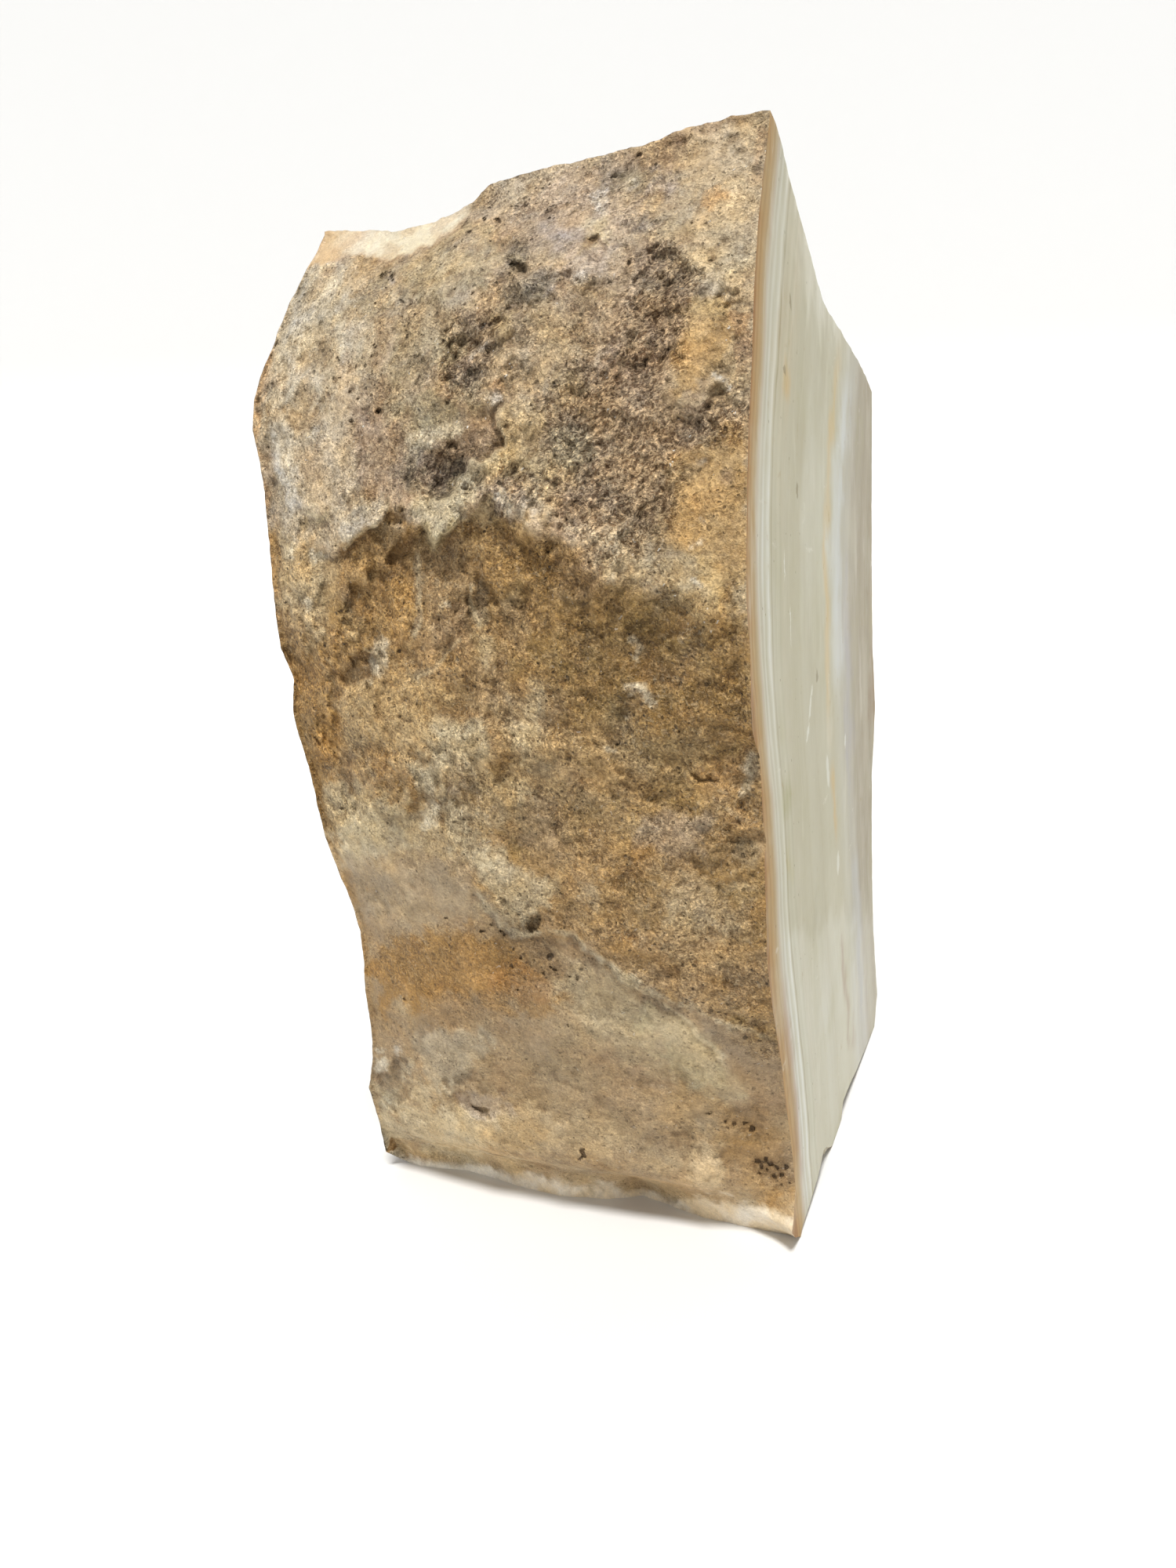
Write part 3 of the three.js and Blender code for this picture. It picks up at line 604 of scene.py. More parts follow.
nq = 110                                       # base edge of the sawn side, chipped: its rims on the sawn side and on the base
s = np.linspace(0, 1, nq + 1)
P_rb = mix(P_fr[0][None], P_br[0][None], s[:, None])
P_rb[1:-1, 2] += (look(BASE_CHIPS, P_rb[:, 1]) + 0.25 + 0.5 * np.abs(fbm(P_rb, 3.0, 3, 241)))[1:-1]
P_rc = mix(P_fr[0][None], P_br[0][None], s[:, None])
P_rc[1:-1, 0] -= (0.2 + 1.25 * trend(BASE_CHIPS, P_rc[:, 1], 1, 2.5) + 0.6 * np.abs(fbm(P_rc, 5.0, 3, 243)))[1:-1]

P_bl[0], P_bl[-1] = P_lb[-1], P_lt[-1]
P_kb[0], P_kt[0] = P_lb[-1], P_lt[-1]
P_br[0], P_br[-1] = P_rb[-1], P_rt[-1]
P_kb[-1], P_kt[-1] = P_rb[-1], P_rt[-1]

ids_bl = add_points(P_bl)
ids_br = add_points(P_br)
ids_rt = np.concatenate([[front_right[-1]], add_points(P_rt[1:-1]), [ids_br[-1]]])
ids_lt = np.concatenate([[front_left[-1]], add_points(P_lt[1:-1]), [ids_bl[-1]]])
ids_lb = np.concatenate([[front_left[0]], add_points(P_lb[1:-1]), [ids_bl[0]]])
ids_kt = np.concatenate([[ids_bl[-1]], add_points(P_kt[1:-1]), [ids_br[-1]]])
ids_kb = np.concatenate([[ids_bl[0]], add_points(P_kb[1:-1]), [ids_br[0]]])
ids_rb = np.concatenate([[front_right[0]], add_points(P_rb[1:-1]), [ids_br[0]]])
ids_rc = np.concatenate([[front_right[0]], add_points(P_rc[1:-1]), [ids_br[0]]])
P_rm = 0.5 * (P_rb + P_rc) + np.array([0.25, 0, -0.25]) * (look(BASE_CHIPS, P_rb[:, 1]) * unit(fbm(P_rb, 3.5, 3, 245)) * 0.5)[:, None]
P_rm[:, 0], P_rm[:, 2] = np.minimum(P_rm[:, 0], 0), np.maximum(P_rm[:, 2], BASE_Z)
ids_rm = np.concatenate([[front_right[0]], add_points(P_rm[1:-1]), [ids_br[0]]])

# ------------------------------------------------------------------ patches
triangles, kinds, sharp_pairs = [], [], []
a, b, c, d = grid[:-1, :-1], grid[:-1, 1:], grid[1:, 1:], grid[1:, :-1]
odd = (np.add.outer(np.arange(NV), np.arange(NU)) % 2).astype(bool)
first = np.where(odd[..., None], np.stack([a, c, b], -1), np.stack([a, d, b], -1)).reshape(-1, 3)
other = np.where(odd[..., None], np.stack([a, d, c], -1), np.stack([b, d, c], -1)).reshape(-1, 3)
triangles += [first, other]
kinds += [np.zeros(len(first), int), np.zeros(len(other), int)]
for upper_row, lower_row in ((ids_rb, ids_rm), (ids_rm, ids_rc)):      # the chip, rims joined at both ends
    strip = []
    for k in range(nq):
        if k:
            strip.append((upper_row[k], lower_row[k], lower_row[k + 1] if k < nq - 1 else upper_row[k + 1]))
        if k < nq - 1:
            strip.append((upper_row[k], lower_row[k + 1], upper_row[k + 1]))
    triangles.append(np.array(strip))
    kinds.append(np.full(len(strip), 2))


def coons(low, high, left, right, a, b):
    """Point at share a along low/high and b along left/right, between four border curves."""
    def on(curve, v):
        k = np.linspace(0, 1, len(curve))
        return np.stack([np.interp(v, k, curve[:, j]) for j in range(3)], -1)
    A, B = a[:, None], b[:, None]
    return ((1 - B) * on(low, a) + B * on(high, a) + (1 - A) * on(left, b) + A * on(right, b)
            - ((1 - A) * (1 - B) * low[0] + A * (1 - B) * low[-1] + (1 - A) * B * high[0] + A * B * high[-1]))


def scatter(width, height, reach, finest, coarsest):
    """Points filling a width x height patch, closer together near its fine borders; reach gives the distance to them."""
    out = []
    h, lo = finest, 0.0
    while True:
        last = h >= coarsest
        h = min(h, coarsest)
        hi = 1e9 if last else lo + 2.2 * h
        nx, ny = int(width / h) + 1, int(height / (h * 0.9)) + 1
        gx, gy = np.meshgrid((np.arange(nx) + 0.5) * width / nx, (np.arange(ny) + 0.5) * height / ny)
        gx = gx + (np.arange(ny) % 2 * 0.5 - 0.25)[:, None] * width / nx
        gx, gy = gx.ravel(), gy.ravel()
        k = hash3(np.arange(len(gx), dtype=float), np.full(len(gx), len(gx), float), np.zeros(len(gx)), 7)
        gx = gx + ((k & np.uint32(255)) / 255.0 - 0.5) * 0.3 * h
        gy = gy + (((k >> np.uint32(8)) & np.uint32(255)) / 255.0 - 0.5) * 0.3 * h
        m = np.minimum(np.minimum(gx, width - gx), np.minimum(gy, height - gy))
        dist = reach(gx, gy)
        keep = (m > 0.62 * h) & (dist >= lo + 0.3 * h) & (dist < hi)
        out.append(np.stack([gx[keep], gy[keep]], -1))
        if last:
            return np.concatenate(out)
        lo, h = hi, h * 1.35


def fill(loop_ids, loop_2d, inner_2d, inner_3d, kind, outward):
    """Triangulates a patch between its border loop and its inner points."""
    ids = np.concatenate([loop_ids, add_points(inner_3d)]) if len(inner_2d) else np.asarray(loop_ids)
    n = len(loop_ids)
    flat = [Vector((float(x), float(y))) for x, y in np.concatenate([loop_2d, inner_2d])]
    area = 0.5 * sum(loop_2d[i][0] * loop_2d[(i + 1) % n][1] - loop_2d[(i + 1) % n][0] * loop_2d[i][1] for i in range(n))
    ring = list(range(n)) if area > 0 else list(range(n))[::-1]
    verts, _, faces, orig, _, _ = delaunay_2d_cdt(flat, [], [ring], 1, 1e-7)
    assert len(verts) == len(flat), (len(verts), len(flat))
    back = np.array([o[0] for o in orig])
    tri = ids[back[np.array([fc for fc in faces if len(fc) == 3])]]
    allp = np.concatenate(points)
    p0, p1, p2 = allp[tri[:, 0]], allp[tri[:, 1]], allp[tri[:, 2]]
    if (np.cross(p1 - p0, p2 - p0).sum(0) @ np.asarray(outward, float)) < 0:
        tri = tri[:, ::-1]
    triangles.append(tri)
    kinds.append(np.full(len(tri), kind))


def ring_ids(*parts):
    out = []
    for part in parts:
        out += list(part[:-1])
    return np.array(out)


def ring_2d(*parts):
    out = []
    for (x0, y0), (x1, y1), n in parts:
        for i in range(n):
            out.append((x0 + (x1 - x0) * i / n, y0 + (y1 - y0) * i / n))
    return np.array(out)


def broken(p, seed):
    """Relief of a fracture through banded calcite: broad facets, steps along the bands, crystalline grain."""
    near, second, ident = cells(p * np.array([1.0, 1.0, 0.8]), 21, seed)
    facet = (ident - 0.5) * 2.4 * ease((second - near) / 0.16)
    q = bent(p, 17.0, 5.0, seed + 9)
    small, second_, ident_ = cells(q * np.array([1.0, 1.0, 0.7]), 9.5, seed + 6)
    chip_ = (ident_ - 0.5) * 1.5 * ease((second_ - small) / 0.16)
    step = fbm(q, 24, 3, seed + 8) / 0.16
    terrace = (np.floor(step) + ease((step - np.floor(step)) / 0.16)) * 0.55
    return (1.3 * facet + chip_ + terrace + 1.1 * fbm(p, 13, 3, seed + 1) + 0.45 * (0.3 - ridged(p, 5.5, 3, seed + 2))
            + 0.12 * fbm(p, 4.2, 2, seed + 3))


# left break: a from the rind to the back, b from the base to the top
W, H = 130.0, 190.0
q = scatter(W, H, lambda x, y: x, 0.62, 2.05)
a_, b_ = q[:, 0] / W, q[:, 1] / H
p = coons(P_lb, P_lt, P_fl, P_bl, a_, b_)
ends = ease(a_ / 0.10) * ease((1 - a_) / 0.10) * ease(b_ / 0.05) * ease((1 - b_) / 0.05)
fine = ease(a_ / 0.015) * ease((1 - a_) / 0.015) * ease(b_ / 0.015) * ease((1 - b_) / 0.015)
rough = BREAK_ROUGH * lattice_noise(0, p[:, 1], p[:, 2], 27, 11) + 0.5 * BREAK_ROUGH * lattice_noise(0, p[:, 1], p[:, 2], 12, 12)
p[:, 0] += -2.4 * np.sin(np.pi * a_) * ease(b_ / 0.15) + 0.8 * rough * ends + broken(p, 301) * ends + 0.15 * fbm(p, 4.2, 2, 305) * fine
p[:, 1] += 0.6 * rough * ends
p[:, 0] = np.maximum(p[:, 0], -98.6 + 0.25 * fbm(p, 6, 3, 306))
fill(ring_ids(ids_lb, ids_bl, ids_lt[::-1], front_left[::-1]),
     ring_2d(((0, 0), (W, 0), nl), ((W, 0), (W, H), nb), ((W, H), (0, H), nl), ((0, H), (0, 0), NV)),
     q, p, 2, (-1, 0, 0))

# back break: a from the left to the sawn side
W, H = 96.0, 182.0
q = scatter(W, H, lambda x, y: (W - x) * 1.5, 1.0, 2.05)
a_, b_ = q[:, 0] / W, q[:, 1] / H
p = coons(P_kb, P_kt, P_bl, P_br, a_, b_)
ends = ease(a_ / 0.12) * ease((1 - a_) / 0.12) * ease(b_ / 0.05) * ease((1 - b_) / 0.05)
fine = ease(a_ / 0.02) * ease((1 - a_) / 0.02) * ease(b_ / 0.015) * ease((1 - b_) / 0.015)
rough = BREAK_ROUGH * lattice_noise(p[:, 0], 0, p[:, 2], 29, 21) + 0.5 * BREAK_ROUGH * lattice_noise(p[:, 0], 0, p[:, 2], 13, 22)
p[:, 1] += 2.2 * np.sin(np.pi * a_) * ease(b_ / 0.1) * ease((1 - b_) / 0.08) + rough * ends - broken(p, 321) * ends + 0.15 * fbm(p, 4.2, 2, 325) * fine
p[:, 0] += 0.5 * rough * ends * (1 - a_)
p[:, 1] = np.minimum(p[:, 1], 132.2 - 0.3 * np.abs(fbm(p, 6, 3, 326)))
fill(ring_ids(ids_kb, ids_br, ids_kt[::-1], ids_bl[::-1]),
     ring_2d(((0, 0), (W, 0), nk), ((W, 0), (W, H), nr), ((W, H), (0, H), nk), ((0, H), (0, 0), nb)),
     q, p, 2, (0, 1, 0))

# broken top: a from the sawn side to the left, b from the rind to the back
W, H = 96.0, 128.0
q = scatter(W, H, lambda x, y: np.minimum(y, x * 1.2), 0.62, 1.9)
a_, b_ = q[:, 0] / W, q[:, 1] / H
p = coons(P_ft, P_kt[::-1], P_rt, P_lt, a_, b_)
ends = ease(np.minimum(np.minimum(a_, 1 - a_), np.minimum(b_, 1 - b_)) / 0.1)
fine = ease(np.minimum(np.minimum(a_, 1 - a_), np.minimum(b_, 1 - b_)) / 0.015)
rough = BREAK_ROUGH * lattice_noise(p[:, 0], p[:, 1], 0, 24, 31) + 0.5 * BREAK_ROUGH * lattice_noise(p[:, 0], p[:, 1], 0, 11, 32)
p[:, 2] += (rough - 1.0) * ends - broken(p, 341) * ends + 0.15 * fbm(p, 4.2, 2, 345) * fine
fill(ring_ids(front_top, ids_lt, ids_kt, ids_rt[::-1]),
     ring_2d(((0, 0), (W, 0), NU), ((W, 0), (W, H), nl), ((W, H), (0, H), nk), ((0, H), (0, 0), nt)),
     q, p, 2, (0, 0, 1))

# sawn side and sawn base: true planes inside their real outlines
def plane_points(poly, h, clear):
    lo, hi = poly.min(0), poly.max(0)
    gx, gy = np.meshgrid(np.arange(lo[0] + h / 2, hi[0], h), np.arange(lo[1] + h / 2, hi[1], h))
    gx = gx + (np.arange(gx.shape[0]) % 2 * 0.5)[:, None] * h
    gx, gy = gx.ravel(), gy.ravel()
    keep = inside(poly, gx, gy)
    gx, gy = gx[keep], gy[keep]
    near = np.full(len(gx), 1e9)
    for k in range(0, len(poly), 2):
        near = np.minimum(near, np.hypot(gx - poly[k, 0], gy - poly[k, 1]))
    return np.stack([gx[near > clear], gy[near > clear]], -1)


everything = np.concatenate(points)
loop = ring_ids(ids_rb, ids_br, ids_rt[::-1], front_right[::-1])
poly = everything[loop][:, 1:]
q = plane_points(poly, 2.3, 1.2)
fill(loop, poly, q, np.stack([np.zeros(len(q)), q[:, 0], q[:, 1]], -1), 1, (1, 0, 0))
sharp_pairs.append(loop)
loop = ring_ids(front_low, ids_lb, ids_kb, ids_rc[::-1])
poly = everything[loop][:, :2]
q = plane_points(poly, 4.0, 1.6)
fill(loop, poly, q, np.stack([q[:, 0], q[:, 1], np.full(len(q), BASE_Z)], -1), 3, (0, 0, -1))
sharp_pairs.append(loop)

all_points = np.concatenate(points)
tri = np.concatenate(triangles)
kind = np.concatenate(kinds)
print("triangles", len(tri), "vertices", len(all_points))

# ------------------------------------------------------------------ paint of the rind
# A short palette of stone colours, sRGB; the marks below lay them on the rind as ovals and streaks.
PALETTE = {
    "beige": (190, 168, 132), "grey_beige": (170, 155, 128), "pale": (206, 193, 164), "cream": (224, 209, 178),
    "white": (220, 214, 200), "tan": (176, 144, 98), "gold": (184, 146, 84), "brown": (150, 117, 68),
    "dark_brown": (116, 88, 50), "olive": (128, 103, 56), "purple": (134, 116, 102), "red_brown": (142, 107, 78),
    "grey": (140, 131, 116), "lavender": (174, 161, 150), "green": (184, 176, 142), "moss": (150, 140, 108),
    "ochre": (158, 119, 60), "orange": (154, 108, 54), "taupe": (152, 131, 105), "pink_brown": (163, 136, 107),
    "pinkish": (172, 152, 130), "sand": (182, 159, 114), "straw": (168, 138, 90), "mud": (148, 122, 92), "slate": (122, 112, 94),
    "chalk": (190, 180, 158), "light_beige": (196, 176, 144), "knob": (196, 184, 150), "sandy": (164, 142, 108), "facet": (180, 162, 130), "fawn": (184, 160, 122), "umber": (130, 101, 66), "bronze": (126, 98, 58), "rich_gold": (176, 138, 78), "amber_tan": (190, 152, 104),
}


def linear(rgb):
    c = np.array(rgb, float) / 255.0
    return np.where(c <= 0.04045, c / 12.92, ((c + 0.055) / 1.055) ** 2.4)


# soft tints: colour, strength, edge (small is crisp), then ovals as (x, y, rx, ry, turn)
OVALS = [
    # upper zone
    ("pale", 0.75, 0.5, (400, 420, 62, 110, 0)), ("pale", 0.45, 0.5, (392, 585, 62, 84, 0)), ("grey_beige", 0.6, 0.6, (520, 400, 112, 70, 0)),
    ("beige", 0.6, 0.6, (560, 340, 90, 40, -10)), ("tan", 0.5, 0.6, (520, 330, 60, 22, -10)), ("moss", 0.45, 0.6, (590, 330, 60, 40, 0)),
    ("moss", 0.4, 0.6, (530, 480, 60, 40, 20)), ("tan", 0.4, 0.6, (500, 430, 40, 40, 20)), ("red_brown", 0.35, 0.6, (500, 520, 60, 40, 0)),
    ("grey_beige", 0.6, 0.6, (780, 300, 60, 50, 0)), ("pinkish", 0.5, 0.6, (800, 320, 70, 50, 0)), ("pinkish", 0.5, 0.6, (740, 270, 60, 40, -20)),
    ("tan", 0.4, 0.6, (690, 460, 56, 50, 0)), ("moss", 0.35, 0.6, (720, 430, 40, 40, 0)), ("pink_brown", 0.6, 0.6, (800, 600, 84, 96, 0)),
    ("mud", 0.45, 0.6, (770, 520, 90, 60, 0)), ("mud", 0.4, 0.6, (730, 640, 60, 50, 0)), ("pinkish", 0.45, 0.6, (826, 430, 44, 50, 6)),
    ("brown", 0.4, 0.5, (398, 462, 18, 24, 0)), ("brown", 0.4, 0.5, (390, 514, 16, 26, 0)), ("pale", 0.35, 0.6, (940, 340, 40, 40, 0)),
    ("beige", 0.5, 0.6, (800, 700, 60, 26, 14)), ("straw", 0.5, 0.6, (880, 760, 50, 30, 20)), ("sand", 0.5, 0.6, (668, 600, 40, 30, 8)),
    # middle zone
    ("olive", 0.6, 0.6, (730, 806, 150, 84, 14)), ("olive", 0.6, 0.6, (868, 896, 84, 90, 0)), ("dark_brown", 0.45, 0.6, (862, 884, 76, 50, 0)), ("dark_brown", 0.35, 0.6, (700, 740, 90, 46, 20)),
    ("brown", 0.6, 0.6, (484, 724, 70, 40, 0)), ("dark_brown", 0.3, 0.6, (500, 724, 50, 26, 0)), ("taupe", 0.35, 0.6, (680, 400, 54, 40, 0)), ("brown", 0.5, 0.6, (600, 740, 90, 50, 0)), ("brown", 0.6, 0.5, (436, 846, 26, 30, 0)),
    ("tan", 0.4, 0.6, (500, 780, 70, 60, 0)), ("ochre", 0.35, 0.6, (520, 780, 30, 40, 0)), ("tan", 0.5, 0.6, (560, 890, 100, 50, 0)),
    ("pale", 0.35, 0.5, (392, 760, 26, 50, 0)), ("white", 0.5, 0.5, (470, 842, 10, 20, 20)), ("ochre", 0.6, 0.5, (418, 940, 10, 46, 0)),
    ("ochre", 0.45, 0.6, (396, 900, 20, 60, 0)), ("taupe", 0.4, 0.6, (470, 990, 40, 40, 0)), ("straw", 0.5, 0.6, (640, 1004, 30, 30, 0)),
    ("white", 0.55, 0.5, (812, 888, 7, 7, 20)), ("white", 0.5, 0.5, (820, 901, 8, 4, 0)), ("white", 0.5, 0.5, (843, 868, 5, 5, 0)),
    ("white", 0.4, 0.5, (818, 828, 4, 6, 0)), ("white", 0.6, 0.5, (786, 957, 6, 4, 20)), ("ochre", 0.4, 0.5, (962, 1050, 16, 10, 0)),
    ("ochre", 0.45, 0.6, (812, 1104, 28, 22, 0)), ("ochre", 0.45, 0.6, (900, 985, 30, 10, 0)), ("grey_beige", 0.45, 0.6, (574, 1060, 80, 50, 0)),
    ("grey_beige", 0.5, 0.6, (500, 1080, 70, 60, 0)), ("taupe", 0.6, 0.6, (530, 1132, 110, 38, 0)), ("brown", 0.5, 0.6, (684, 1204, 50, 24, 30)), ("chalk", 0.4, 0.5, (430, 1090, 30, 24, 0)), ("mud", 0.45, 0.6, (880, 1190, 90, 70, 20)),
    ("tan", 0.3, 0.6, (780, 1160, 70, 50, 20)), ("taupe", 0.5, 0.6, (900, 1240, 80, 40, 20)), ("taupe", 0.4, 0.6, (640, 860, 40, 60, 0)),
    ("brown", 0.4, 0.6, (350, 850, 30, 60, 0)), ("chalk", 0.35, 0.6, (870, 1150, 50, 26, 10)),
    # lower zone
    ("sandy", 0.5, 0.6, (700, 1372, 60, 46, 0)), ("mud", 0.35, 0.6, (760, 1250, 40, 30, 40)), ("tan", 0.4, 0.6, (858, 1420, 44, 30, 0)),
    ("slate", 0.55, 0.5, (494, 1390, 20, 30, 0)), ("white", 0.6, 0.5, (492, 1350, 8, 10, 30)), ("beige", 0.6, 0.6, (560, 1450, 70, 26, 10)),
    ("taupe", 0.4, 0.6, (780, 1450, 60, 40, 0)), ("mud", 0.55, 0.6, (560, 1296, 64, 30, 0)), ("pale", 0.45, 0.6, (530, 1436, 90, 36, 6)), ("beige", 0.55, 0.6, (680, 1450, 76, 30, 6)),
]
